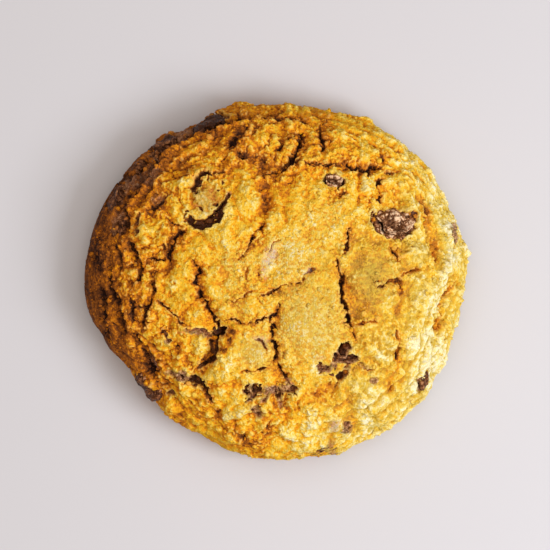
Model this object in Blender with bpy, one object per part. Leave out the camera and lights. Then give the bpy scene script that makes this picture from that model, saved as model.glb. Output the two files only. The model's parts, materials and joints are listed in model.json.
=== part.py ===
"""Chocolate chip cookie: a thick domed round of baked dough, cracked across its top, with chunks of
chocolate set in its top and in its wall. It lies flat on its base, +Z up."""

import math

import bmesh
import bpy
import numpy as np
from mathutils import Matrix, Vector, geometry, noise

MM = 0.001

# Main sizes of the dough, in millimetres.
WAIST_HEIGHT = 5.6
DOME_RISE = 18.1
DOME_POWER = 2.7
MEAN_RADIUS = 46.0
STEEPEST_SHARE = 0.985
GAP = 0.3

# Lumps of the crust: height and size, large and small.
LUMP = 0.9
LUMP_SIZE = 6.5
SMALL_LUMP = 0.5
SMALL_LUMP_SIZE = 3.1

# The wall: the share of the edge radius where it starts and sets in, its folds
# (height, turn in radians per millimetre of height, waver and its size) and its own lumps.
WALL_START = 0.78
WALL_BLEND = 0.14
FOLD = 0.7
FOLD_TURN = 1.2
FOLD_BEND = 2.4
FOLD_BEND_SIZE = 20.0
WALL_LUMP = 1.3
WALL_LUMP_SIZE = 9.0
EDGE_FADE = 30

# The edge seen from above: an ellipse with bulges and hollows, each an angle and spread in
# degrees, counter-clockwise from +X, and how far it stands out.
HALF_LENGTH = 47.6
HALF_WIDTH = 44.2
BULGES = (
    (7.5, 5, 0.7),
    (38, 9, 1.5),
    (60, 8, 1.2),
    (104, 5, 0.8),
    (120, 7, -0.8),
    (196, 6, -1.2),
    (212, 11, -4.4),
    (226, 8, -2.7),
    (243, 10, -2.4),
    (290, 8, 1.4),
    (308, 5, 1.1),
    (322, 5, 1.4),
    (347, 8, -0.8),
)

# The mesh: points round the edge, spacing over the crust and along cracks, rows of the net each way,
# how far points waver and keep from the edge and from cracks, and rings of the underside.
AROUND = 112
SPACING = 2.6
CRACK_STEP = 2.0
NET_ROWS = 26
WAVER = 0.5
WAVER_SIZE = 1.7
EDGE_CLEARANCE = 0.75
CRACK_CLEARANCE = 0.8
PROFILE_STEPS = 900
UNDERSIDE = ((0.99, 2.7), (0.955, 0.0))

# Broad swellings and dents of the top: x, y, reach, height.
SWELLINGS = (
    (8.0, -10.5, 7.5, 0.7),
    (24.5, 2.0, 6.0, 0.7),
    (11.0, 15.0, 8.0, 0.6),
    (-12.0, 6.0, 7.0, 0.5),
    (-7.0, -6.0, 4.0, 0.4),
    (-23.0, 3.0, 5.0, 0.6),
    (-28.0, -8.0, 6.0, 0.8),
    (-11.0, -20.0, 5.0, 1.1),
    (-24.0, 24.0, 6.0, 0.7),
    (13.0, 34.0, 5.0, 0.9),
    (26.0, 32.0, 6.0, 0.7),
    (-8.0, 36.0, 5.0, 0.9),
    (33.0, -4.0, 5.0, 0.7),
    (30.0, -14.0, 5.0, 0.8),
    (8.0, -33.0, 6.0, 0.8),
    (26.0, -30.0, 6.0, 0.7),
    (-17.0, -32.0, 6.0, 0.7),
    (34.0, 18.0, 4.0, 0.5),
    (-2.5, 29.0, 3.2, -1.4),
    (-2.6, 20.5, 2.6, -1.2),
    (-15.0, -12.5, 3.2, -1.6),
    (-19.0, -25.0, 2.8, -1.2),
    (12.5, -27.5, 3.2, -0.9),
    (0.0, -26.5, 5.0, -0.8),
    (17.5, -19.5, 4.5, -0.9),
    (-17.0, 20.0, 4.5, -0.6),
    (38.5, 10.0, 3.0, -0.6),
    (43.0, -4.0, 3.0, -0.8),
)

# Cracks in the crust: width, depth and route. They narrow to a share of their width at the ends.
CRACK_END = 0.3
CRACK_TAPER = 2.6
CRACKS = (
    (1.4, 2.6, ((15.3, 5.5), (16, 3), (17, 0.5), (16.7, -2.5), (17, -5), (18, -8), (19.5, -12),
                (19.8, -15))),
    (1.2, 1.8, ((18.8, 14), (18.3, 10.5), (17.7, 8), (16.3, 5.8))),
    (1.1, 1.6, ((-3.2, -4), (0, -2.3), (1.4, -1.2), (5, -0.5), (6.9, -0.2), (7.6, 2), (10, 3.3))),
    (1.0, 1.4, ((1.3, -5), (0.5, -8), (-1, -9.2), (-1.3, -10.3))),
    (1.1, 1.4, ((-2.2, -9.3), (-4.5, -9.9), (-7, -10.9), (-10, -9.7), (-13, -9.8))),
    (1.8, 2.8, ((-0.9, -10.5), (-0.6, -12.5), (-0.2, -14.5), (0.5, -16.5), (0.4, -19), (-0.3, -21))),
    (1.1, 1.5, ((0.8, -21), (2, -23), (3.2, -24.6))),
    (1.1, 1.5, ((-1.2, -21.7), (-4.5, -22.2), (-8, -22))),
    (2.4, 3.0, ((-1.8, 26.8), (2, 27.4), (4, 29.3), (5.5, 32), (6.3, 35), (7, 38.5))),
    (2.4, 1.8, ((-3, 25.6), (-4, 24), (-2.6, 21), (-2.5, 17.5), (-3.2, 13.8))),
    (1.3, 1.5, ((-4.6, 12.6), (-6.3, 10.8), (-6.8, 8.5), (-8.3, 6), (-9.5, 4.8))),
    (1.5, 2.2, ((11.3, 40), (11.5, 37.5), (12.2, 34.5), (12, 31.7))),
    (1.5, 2.2, ((7.6, 29.2), (13, 29), (18, 29.5), (22.7, 27.2), (25, 28.3), (28.5, 26.8), (31, 26.6))),
    (1.0, 1.3, ((25.8, 25.3), (25.3, 24), (26, 22), (26.4, 19.9))),
    (1.0, 1.2, ((29.2, 8.6), (30.3, 6.2), (31.5, 4.6))),
    (1.0, 1.2, ((24.5, -1.2), (27.5, -0.6), (29.4, 0.1), (31.7, -0.8))),
    (1.0, 1.2, ((20.7, -10.7), (23.5, -10.1), (25.7, -10))),
    (1.3, 2.0, ((-21.8, 13), (-24, 12), (-25.4, 9.6), (-26.4, 7), (-26.5, 3.8))),
    (1.3, 2.0, ((-20.5, 6), (-18.9, 3), (-20.1, 0), (-18.5, -3.5), (-17.2, -6.2), (-15.2, -9))),
    (1.0, 1.3, ((-12, -5.6), (-8.5, -4.3), (-5, -2.5))),
    (1.3, 1.6, ((-33.8, 1), (-33, 3.5), (-32.1, 5.7))),
    (1.2, 1.6, ((-30, 0), (-30.3, -3), (-31.2, -6), (-32.5, -11))),
    (1.1, 1.4, ((-28.9, -5.4), (-26, -7.5), (-24, -10))),
    (1.5, 2.4, ((-35, -13), (-33, -17), (-32, -20), (-30.5, -22.5), (-29, -24.5))),
    (1.5, 2.2, ((-15.3, -15.2), (-15.5, -19), (-17, -21))),
    (1.6, 1.4, ((9, -30), (11, -28.5), (13.2, -27), (15.3, -25.8))),
    (1.3, 1.4, ((35.4, 22.5), (37.2, 18), (39.2, 12.8), (39.9, 9), (39.8, 4), (40.1, 1.5))),
    (1.3, 1.6, ((44.6, -2.2), (42.4, -4.8), (41, -9), (40.4, -13))),
    (1.2, 1.4, ((-38.5, -3), (-38.7, -6), (-38, -9), (-37.3, -12.3))),
    (1.2, 1.3, ((-11.5, 33.7), (-9, 36), (-7, 37.6))),
)

# Chocolate: name, x, y, length, width, thickness, turn in degrees, height of its top over the dough.
CHUNKS = (
    ("chocolate_right", 29.8, 14.4, 12.2, 8.8, 6.0, 8, 0.7),
    ("chocolate_upper_left", -17.0, 20.4, 13.6, 11.0, 6.4, 70, 0.6),
    ("chocolate_small_top", 14.8, 25.2, 5.8, 3.8, 3.6, -15, 0.6),
    ("chocolate_lower_right", 20.4, -19.0, 9.8, 5.6, 5.0, -28, 0.6),
    ("chocolate_lower_middle", 14.2, -22.6, 7.8, 4.8, 4.6, -14, 0.6),
    ("chocolate_bottom_right", 1.8, -27.1, 8.6, 4.8, 4.8, 2, 0.7),
    ("chocolate_bottom_left", -7.0, -28.8, 7.4, 4.8, 4.8, 48, 0.6),
    ("chocolate_left_low", -20.6, -24.4, 8.0, 4.8, 4.6, -12, 0.2),
    ("chocolate_left_hole", -17.6, -12.3, 9.2, 4.6, 4.6, -4, 0.0),
    ("chocolate_wall_right", 43.6, 11.2, 6.0, 4.2, 3.6, 104, 0.4),
    ("chocolate_wall_low_right", 37.3, -25.2, 7.2, 4.6, 3.8, 66, 0.5),
    ("chocolate_wall_low", 17.9, -36.4, 5.0, 3.8, 3.4, -20, 0.5),
    ("chocolate_rim_bottom", 12.6, -41.6, 7.0, 5.4, 3.8, 12, 0.5),
    ("chocolate_wall_left", -38.4, 13.4, 7.2, 5.0, 4.4, 84, 0.6),
    ("chocolate_rim_left", -40.4, 20.2, 8.6, 6.4, 5.0, 66, 0.8),
    ("chocolate_rim_upper", -35.3, 28.2, 7.6, 4.8, 4.4, 44, 0.6),
    ("chocolate_rim_top_left", -27.4, 34.3, 8.6, 5.6, 4.6, 40, 0.8),
    ("chocolate_rim_top", -16.4, 39.4, 11.6, 6.2, 5.0, 15, 0.7),
    ("chocolate_rim_low_left", -31.6, -26.2, 13.0, 5.6, 4.6, 130, 1.5),
)

# A chunk's broken corners: how many, their slope, their reach as a share of the uncut corner, and
# how hard the edges are. Segments and rings of a large and of a small chunk.
CORNER_CUTS = 6
CORNER_SLOPE = 0.40
CORNER_REACH = 0.76
ROUNDING = 7.0
LARGE_CHUNK = 9.2
LARGE_MESH = (12, 7)
SMALL_MESH = (10, 6)

# Colour, roughness and edge angle of the two materials.
DOUGH_COLOUR = (0.72, 0.46, 0.15)
DOUGH_ROUGHNESS = 0.75
DOUGH_EDGES = 50
CHOCOLATE_COLOUR = (0.075, 0.034, 0.022)
CHOCOLATE_ROUGHNESS = 0.42
CHOCOLATE_EDGES = 35


def edge_radius(angle):
    """The edge's distance from the middle at an angle in radians."""
    across = math.hypot(HALF_WIDTH * math.cos(angle), HALF_LENGTH * math.sin(angle))
    radius = HALF_LENGTH * HALF_WIDTH / across
    for middle, spread, height in BULGES:
        apart = (math.degrees(angle) - middle + 180) % 360 - 180
        radius += height * math.exp(-(apart / spread) ** 2)
    return radius


def soft_noise(spot, scale):
    return noise.noise(Vector(spot) / scale)


def edge_share(x, y):
    return min(1.0, math.hypot(x, y) / edge_radius(math.atan2(y, x)))


def dome_height(x, y):
    """Height of the plain dome over a point of the plan."""
    return WAIST_HEIGHT + DOME_RISE * math.sqrt(1 - edge_share(x, y) ** DOME_POWER)


def dome_normal(x, y):
    """Outward normal of the plain dome; close to the edge it keeps the wall's last slope."""
    share = edge_share(x, y)
    if share > STEEPEST_SHARE:
        x, y = x * STEEPEST_SHARE / share, y * STEEPEST_SHARE / share
    step = 0.4
    east = dome_height(x + step, y) - dome_height(x - step, y)
    north = dome_height(x, y + step) - dome_height(x, y - step)
    return Vector((-east, -north, 2 * step)).normalized()


def relief(x, y):
    """How far the uncracked crust stands over the plain dome: swellings, lumps and wall folds."""
    share = edge_share(x, y)
    spot = Vector((x, y, dome_height(x, y)))
    raised = 0.0
    for cx, cy, reach, swell in SWELLINGS:
        raised += swell * math.exp(-((x - cx) ** 2 + (y - cy) ** 2) / (reach * reach))
    raised += LUMP * soft_noise(spot, LUMP_SIZE) + SMALL_LUMP * soft_noise(spot, SMALL_LUMP_SIZE)
    wall = min(1.0, max(0.0, (share - WALL_START) / WALL_BLEND))
    bend = FOLD_BEND * soft_noise((0.8 * x, 0.8 * y, 40.0), FOLD_BEND_SIZE)
    folds = FOLD * math.sin(FOLD_TURN * spot.z + bend)
    raised += wall * (folds + WALL_LUMP * soft_noise(spot, WALL_LUMP_SIZE))
    return raised * (1 - share ** EDGE_FADE)


def crust_point(x, y, depth=0.0):
    normal = dome_normal(x, y)
    return Vector((x, y, dome_height(x, y))) + normal * (relief(x, y) - depth)


def unrolling():
    """Shares of the edge radius, and the same measured along the curve of the dome."""
    shares = 1 - np.linspace(1, 0, PROFILE_STEPS) ** 2
    rises = DOME_RISE * np.sqrt(1 - shares ** DOME_POWER)
    steps = np.hypot(np.diff(shares * MEAN_RADIUS), np.diff(rises))
    return shares, np.concatenate([[0], np.cumsum(steps)]) / MEAN_RADIUS


def restretch(x, y, table_from, table_to):
    """Moves a point in or out along its radius from one measure of the dome to the other."""
    radius = math.hypot(x, y)
    edge = edge_radius(math.atan2(y, x))
    if radius < 1e-9:
        return Vector((x, y))
    return Vector((x, y)) * (float(np.interp(radius / edge, table_from, table_to)) * edge / radius)


def crack_paths():
    """Each crack as evenly spaced points with the half width and depth there."""
    paths = []
    for width, depth, route in CRACKS:
        corners = np.array(route, float)
        lengths = np.linalg.norm(np.diff(corners, axis=0), axis=1)
        along = np.concatenate([[0], np.cumsum(lengths)])
        steps = max(3, round(along[-1] / CRACK_STEP))
        places = np.linspace(0, along[-1], steps + 1)
        points = np.stack([np.interp(places, along, corners[:, k]) for k in (0, 1)], axis=1)
        from_end = np.minimum(places, along[-1] - places)
        taper = np.clip(CRACK_END + from_end / CRACK_TAPER, CRACK_END, 1.0)
        paths.append((points, 0.5 * width * taper, depth * taper))
    return paths


def crack_depth(x, y, paths):
    """How far the cracks lower the surface at a point: deepest along each crack's middle."""
    deepest = 0.0
    for points, halves, depths in paths:
        start, step = points[:-1], np.diff(points, axis=0)
        offset = np.array((x, y)) - start
        t = np.clip((offset * step).sum(1) / (step * step).sum(1), 0, 1)
        apart = np.linalg.norm(offset - t[:, None] * step, axis=1)
        half = halves[:-1] + t * np.diff(halves)
        depth = depths[:-1] + t * np.diff(depths)
        deepest = max(deepest, float((depth * np.clip(1 - apart / half, 0, 1)).max()))
    return deepest


def distance_to_cracks(x, y, paths):
    nearest = 1e9
    for points, halves, _ in paths:
        apart = np.hypot(points[:, 0] - x, points[:, 1] - y) - halves
        nearest = min(nearest, float(apart.min()))
    return nearest


def plan_points(paths, shares, arcs):
    """Points and fixed lines of the unrolled crust: its edge, an even net, and the cracks."""
    points = []
    for k in range(AROUND):
        angle = 2 * math.pi * k / AROUND
        points.append(arcs[-1] * edge_radius(angle) * Vector((math.cos(angle), math.sin(angle))))
    lines = [(k, (k + 1) % AROUND) for k in range(AROUND)]
    row_step = SPACING * math.sqrt(3) / 2
    for row in range(-NET_ROWS, NET_ROWS + 1):
        for column in range(-NET_ROWS, NET_ROWS + 1):
            x = (column + 0.5 * (row % 2)) * SPACING
            y = row * row_step
            x += WAVER * soft_noise((x, y, 1.0), WAVER_SIZE)
            y += WAVER * soft_noise((x, y, 9.0), WAVER_SIZE)
            edge = arcs[-1] * edge_radius(math.atan2(y, x))
            if math.hypot(x, y) > edge - EDGE_CLEARANCE * SPACING:
                continue
            if distance_to_cracks(*restretch(x, y, arcs, shares), paths) > CRACK_CLEARANCE:
                points.append(Vector((x, y)))
    for middle, halves, _ in paths:
        along = np.gradient(middle, axis=0)
        along /= np.linalg.norm(along, axis=1)[:, None]
        side = np.stack([-along[:, 1], along[:, 0]], axis=1) * halves[:, None]
        for track in (middle - side, middle, middle + side):
            first = len(points)
            points += [restretch(*spot, shares, arcs) for spot in track]
            lines += [(k, k + 1) for k in range(first, len(points) - 1)]
    return points, lines


def dough_mesh():
    """The closed dough: crust over the plan, then the turned-in underside and its flat base."""
    paths = crack_paths()
    shares, arcs = unrolling()
    points, lines = plan_points(paths, shares, arcs)
    outline = [list(range(AROUND))]
    flat, _, triangles, sources, _, _ = geometry.delaunay_2d_cdt(points, lines, outline, 1, 1e-3)
    edge = {old: new for new, olds in enumerate(sources) for old in olds if old < AROUND}
    corners = []
    for spot in flat:
        x, y = restretch(spot.x, spot.y, arcs, shares)
        corners.append(crust_point(x, y, crack_depth(x, y, paths)))
    faces = [tuple(face) for face in triangles]
    ring = [edge[k] for k in range(AROUND)]
    for share, level in UNDERSIDE:
        first = len(corners)
        for k in range(AROUND):
            rim = corners[edge[k]]
            corners.append((rim[0] * share, rim[1] * share, level))
        for k in range(AROUND):
            after = (k + 1) % AROUND
            faces.append((ring[k], first + k, first + after, ring[after]))
        ring = [first + k for k in range(AROUND)]
    corners.append((0.0, 0.0, 0.0))
    faces += [(ring[k], len(corners) - 1, ring[(k + 1) % AROUND]) for k in range(AROUND)]
    return corners, faces


def new_object(name, corners, faces, collection):
    mesh = bpy.data.meshes.new(name)
    mesh.from_pydata([Vector(corner) * MM for corner in corners], [], faces)
    shaped = bmesh.new()
    shaped.from_mesh(mesh)
    bmesh.ops.triangulate(shaped, faces=shaped.faces)
    bmesh.ops.recalc_face_normals(shaped, faces=shaped.faces)
    shaped.to_mesh(mesh)
    shaped.free()
    made = bpy.data.objects.new(name, mesh)
    collection.objects.link(made)
    return made


def chunk_planes(number, length, width, thickness):
    """The flat faces that bound a broken chunk: its six sides and a few corners knocked off."""
    halves = Vector((length, width, thickness)) / 2
    planes = []
    for axis in range(3):
        for sign in (-1, 1):
            normal = Vector((0, 0, 0))
            normal[axis] = sign
            planes.append((normal, halves[axis]))
    for cut in range(CORNER_CUTS):
        turn = 2 * math.pi * (cut + 0.37 * (number % 5)) / CORNER_CUTS + 0.4
        slope = CORNER_SLOPE * (1 if cut % 2 else -1) - 0.08 * (number % 3)
        normal = Vector((math.cos(turn), math.sin(turn), slope)).normalized()
        reach = sum(abs(normal[k]) * halves[k] for k in range(3))
        planes.append((normal, reach * (CORNER_REACH + 0.04 * ((number + cut) % 3))))
    return planes


def chunk_frame(x, y, turn, thickness, proud):
    """Places a chunk on the crust: its own Z along the crust's normal."""
    normal = dome_normal(x, y)
    heading = Vector((math.cos(math.radians(turn)), math.sin(math.radians(turn)), 0))
    heading = (heading - heading.dot(normal) * normal).normalized()
    across = normal.cross(heading)
    frame = Matrix((heading, across, normal)).transposed().to_4x4()
    frame.translation = crust_point(x, y) + normal * (proud - thickness / 2)
    return frame


def chunk_mesh(number, chunk, grown):
    """A broken chunk of chocolate, or its pocket when it is grown by the gap."""
    _, x, y, length, width, thickness, turn, proud = chunk
    planes = chunk_planes(number, length, width, thickness)
    frame = chunk_frame(x, y, turn, thickness, proud)
    ball = bmesh.new()
    segments, rings = LARGE_MESH if length > LARGE_CHUNK else SMALL_MESH
    bmesh.ops.create_uvsphere(ball, u_segments=segments, v_segments=rings, radius=1)
    corners = []
    for corner in ball.verts:
        way = corner.co.normalized()
        pressed = sum(max(0.0, way.dot(normal)) ** ROUNDING / (reach + grown) ** ROUNDING
                      for normal, reach in planes)
        spot = way * pressed ** (-1 / ROUNDING)
        corners.append(frame @ spot)
    faces = [tuple(corner.index for corner in face.verts) for face in ball.faces]
    ball.free()
    return corners, faces


def material(name, colour, roughness):
    made = bpy.data.materials.new(name)
    made.use_nodes = True
    shader = made.node_tree.nodes["Principled BSDF"]
    shader.inputs["Base Color"].default_value = (*colour, 1)
    shader.inputs["Roughness"].default_value = roughness
    shader.inputs["Metallic"].default_value = 0.0
    return made


def finish(made, look, angle):
    """Gives a solid its material and smooth shading over its softer edges."""
    made.data.materials.append(look)
    bpy.ops.object.select_all(action="DESELECT")
    made.select_set(True)
    bpy.context.view_layer.objects.active = made
    bpy.ops.object.shade_smooth_by_angle(angle=math.radians(angle))


def main():
    for old in list(bpy.data.objects):
        bpy.data.objects.remove(old, do_unlink=True)
    cookie = bpy.data.collections.new("chocolate_chip_cookie")
    cutters = bpy.data.collections.new("cutters")
    for collection in (cookie, cutters):
        bpy.context.scene.collection.children.link(collection)

    dough = new_object("dough", *dough_mesh(), cookie)
    finish(dough, material("baked_dough", DOUGH_COLOUR, DOUGH_ROUGHNESS), DOUGH_EDGES)

    for number, chunk in enumerate(CHUNKS):
        name = chunk[0]
        solid = new_object(name, *chunk_mesh(number, chunk, 0.0), cookie)
        look = material(name + "_look", CHOCOLATE_COLOUR, CHOCOLATE_ROUGHNESS)
        finish(solid, look, CHOCOLATE_EDGES)
        pocket = new_object(name + "_pocket", *chunk_mesh(number, chunk, GAP), cutters)
        pocket.hide_render = True
        pocket.display_type = "WIRE"

    cut = dough.modifiers.new("pockets", "BOOLEAN")
    cut.operand_type = "COLLECTION"
    cut.collection = cutters
    cut.operation = "DIFFERENCE"
    cut.solver = "EXACT"
    cutters.hide_render = True


main()
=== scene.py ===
"""Looks of the chocolate chip cookie: a grainy golden crust with cracks and toasted places, broken
chunks of chocolate set in it, chips and crumbs on it, under soft light from the right."""

import itertools
import json
import math

import bpy
import numpy as np
from mathutils import Matrix, Vector, noise

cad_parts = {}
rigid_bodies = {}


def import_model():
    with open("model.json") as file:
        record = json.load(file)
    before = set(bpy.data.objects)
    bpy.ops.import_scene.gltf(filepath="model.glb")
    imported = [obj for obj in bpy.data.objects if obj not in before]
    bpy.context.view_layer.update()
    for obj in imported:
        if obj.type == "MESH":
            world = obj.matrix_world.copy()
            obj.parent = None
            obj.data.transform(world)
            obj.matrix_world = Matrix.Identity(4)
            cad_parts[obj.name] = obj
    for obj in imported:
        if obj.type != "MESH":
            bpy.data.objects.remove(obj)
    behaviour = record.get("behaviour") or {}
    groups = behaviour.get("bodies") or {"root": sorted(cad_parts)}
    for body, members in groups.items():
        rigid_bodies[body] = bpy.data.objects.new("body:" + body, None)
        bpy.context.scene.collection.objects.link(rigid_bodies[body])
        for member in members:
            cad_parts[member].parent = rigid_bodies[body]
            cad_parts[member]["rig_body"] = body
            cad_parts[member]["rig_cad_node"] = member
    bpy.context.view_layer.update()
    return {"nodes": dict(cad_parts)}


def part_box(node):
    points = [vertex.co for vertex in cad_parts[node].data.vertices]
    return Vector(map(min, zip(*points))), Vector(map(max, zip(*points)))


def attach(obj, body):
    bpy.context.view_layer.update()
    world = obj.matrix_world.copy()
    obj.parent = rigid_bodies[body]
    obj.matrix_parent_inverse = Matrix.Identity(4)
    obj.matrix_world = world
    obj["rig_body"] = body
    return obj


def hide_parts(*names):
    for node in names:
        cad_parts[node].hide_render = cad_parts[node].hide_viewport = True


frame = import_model()

# Random leans, middles and tones for the noises; the same on every run.
CHANCE = np.random.RandomState(7)
LEANS = CHANCE.normal(size=(4096, 3))
LEANS /= np.linalg.norm(LEANS, axis=1)[:, None]
MIDDLES = CHANCE.rand(4096, 3)
TONES = CHANCE.rand(4096)

MM = 0.001
DOUGH_LOW, DOUGH_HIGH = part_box("dough")

# ---------------------------------------------------------------- form of the crust, in millimetres
HALF_LENGTH = (DOUGH_HIGH.x - DOUGH_LOW.x) / 2 / MM - 0.2
HALF_WIDTH = (DOUGH_HIGH.y - DOUGH_LOW.y) / 2 / MM - 0.1
WAIST_HEIGHT = 5.6
DOME_RISE = DOUGH_HIGH.z / MM - WAIST_HEIGHT - 1.0
DOME_POWER = 2.7
BASE_SHARE = 0.948

# Bulges and hollows of the edge: angle and spread in degrees, and how far it stands out.
BULGES = (
    (7.5, 5, 0.7),
    (38, 9, 1.5),
    (60, 8, 1.2),
    (104, 5, 0.8),
    (120, 7, -0.8),
    (196, 6, -1.2),
    (212, 11, -4.4),
    (226, 8, -2.7),
    (243, 10, -2.4),
    (290, 8, 1.4),
    (308, 5, 1.1),
    (322, 5, 1.4),
    (347, 8, -0.8),
)

# Folds of the wall: their spacing down the slope, where the first lies, and how strong they are
# round the edge (middle and spread in degrees, strength).
FOLD_SPACING = 3.3
FIRST_FOLD_SHARE = 0.79
FOLDED = (
    (187, 42, 0.28),
    (8, 42, 0.45),
    (95, 30, 0.15),
    (300, 35, 0.20),
)

# Broad swellings and dents of the top: x, y, reach, height.
SWELLINGS = (
    (8.0, -10.5, 7.5, 0.7),
    (24.5, 2.0, 6.0, 0.7),
    (11.0, 15.0, 8.0, 0.6),
    (-12.0, 6.0, 7.0, 0.5),
    (-7.0, -6.0, 4.0, 0.4),
    (-23.0, 3.0, 5.0, 0.6),
    (-28.0, -8.0, 6.0, 0.8),
    (-11.0, -20.0, 5.0, 1.1),
    (-24.0, 24.0, 6.0, 0.7),
    (13.0, 34.0, 5.0, 0.9),
    (26.0, 32.0, 6.0, 0.7),
    (-8.0, 36.0, 5.0, 0.9),
    (33.0, -4.0, 5.0, 0.7),
    (30.0, -14.0, 5.0, 0.8),
    (8.0, -33.0, 6.0, 0.8),
    (26.0, -30.0, 6.0, 0.7),
    (-17.0, -32.0, 6.0, 0.7),
    (34.0, 18.0, 4.0, 0.5),
    (-2.5, 29.0, 3.2, -1.4),
    (-2.6, 20.5, 2.6, -1.2),
    (-15.0, -12.5, 3.2, -1.6),
    (-19.0, -25.0, 2.8, -1.2),
    (12.5, -27.5, 3.2, -0.9),
    (0.0, -26.5, 5.0, -0.8),
    (17.5, -19.5, 4.5, -0.9),
    (-17.0, 20.0, 4.5, -0.6),
    (38.5, 10.0, 3.0, -0.6),
    (43.0, -4.0, 3.0, -0.8),
)

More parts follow.
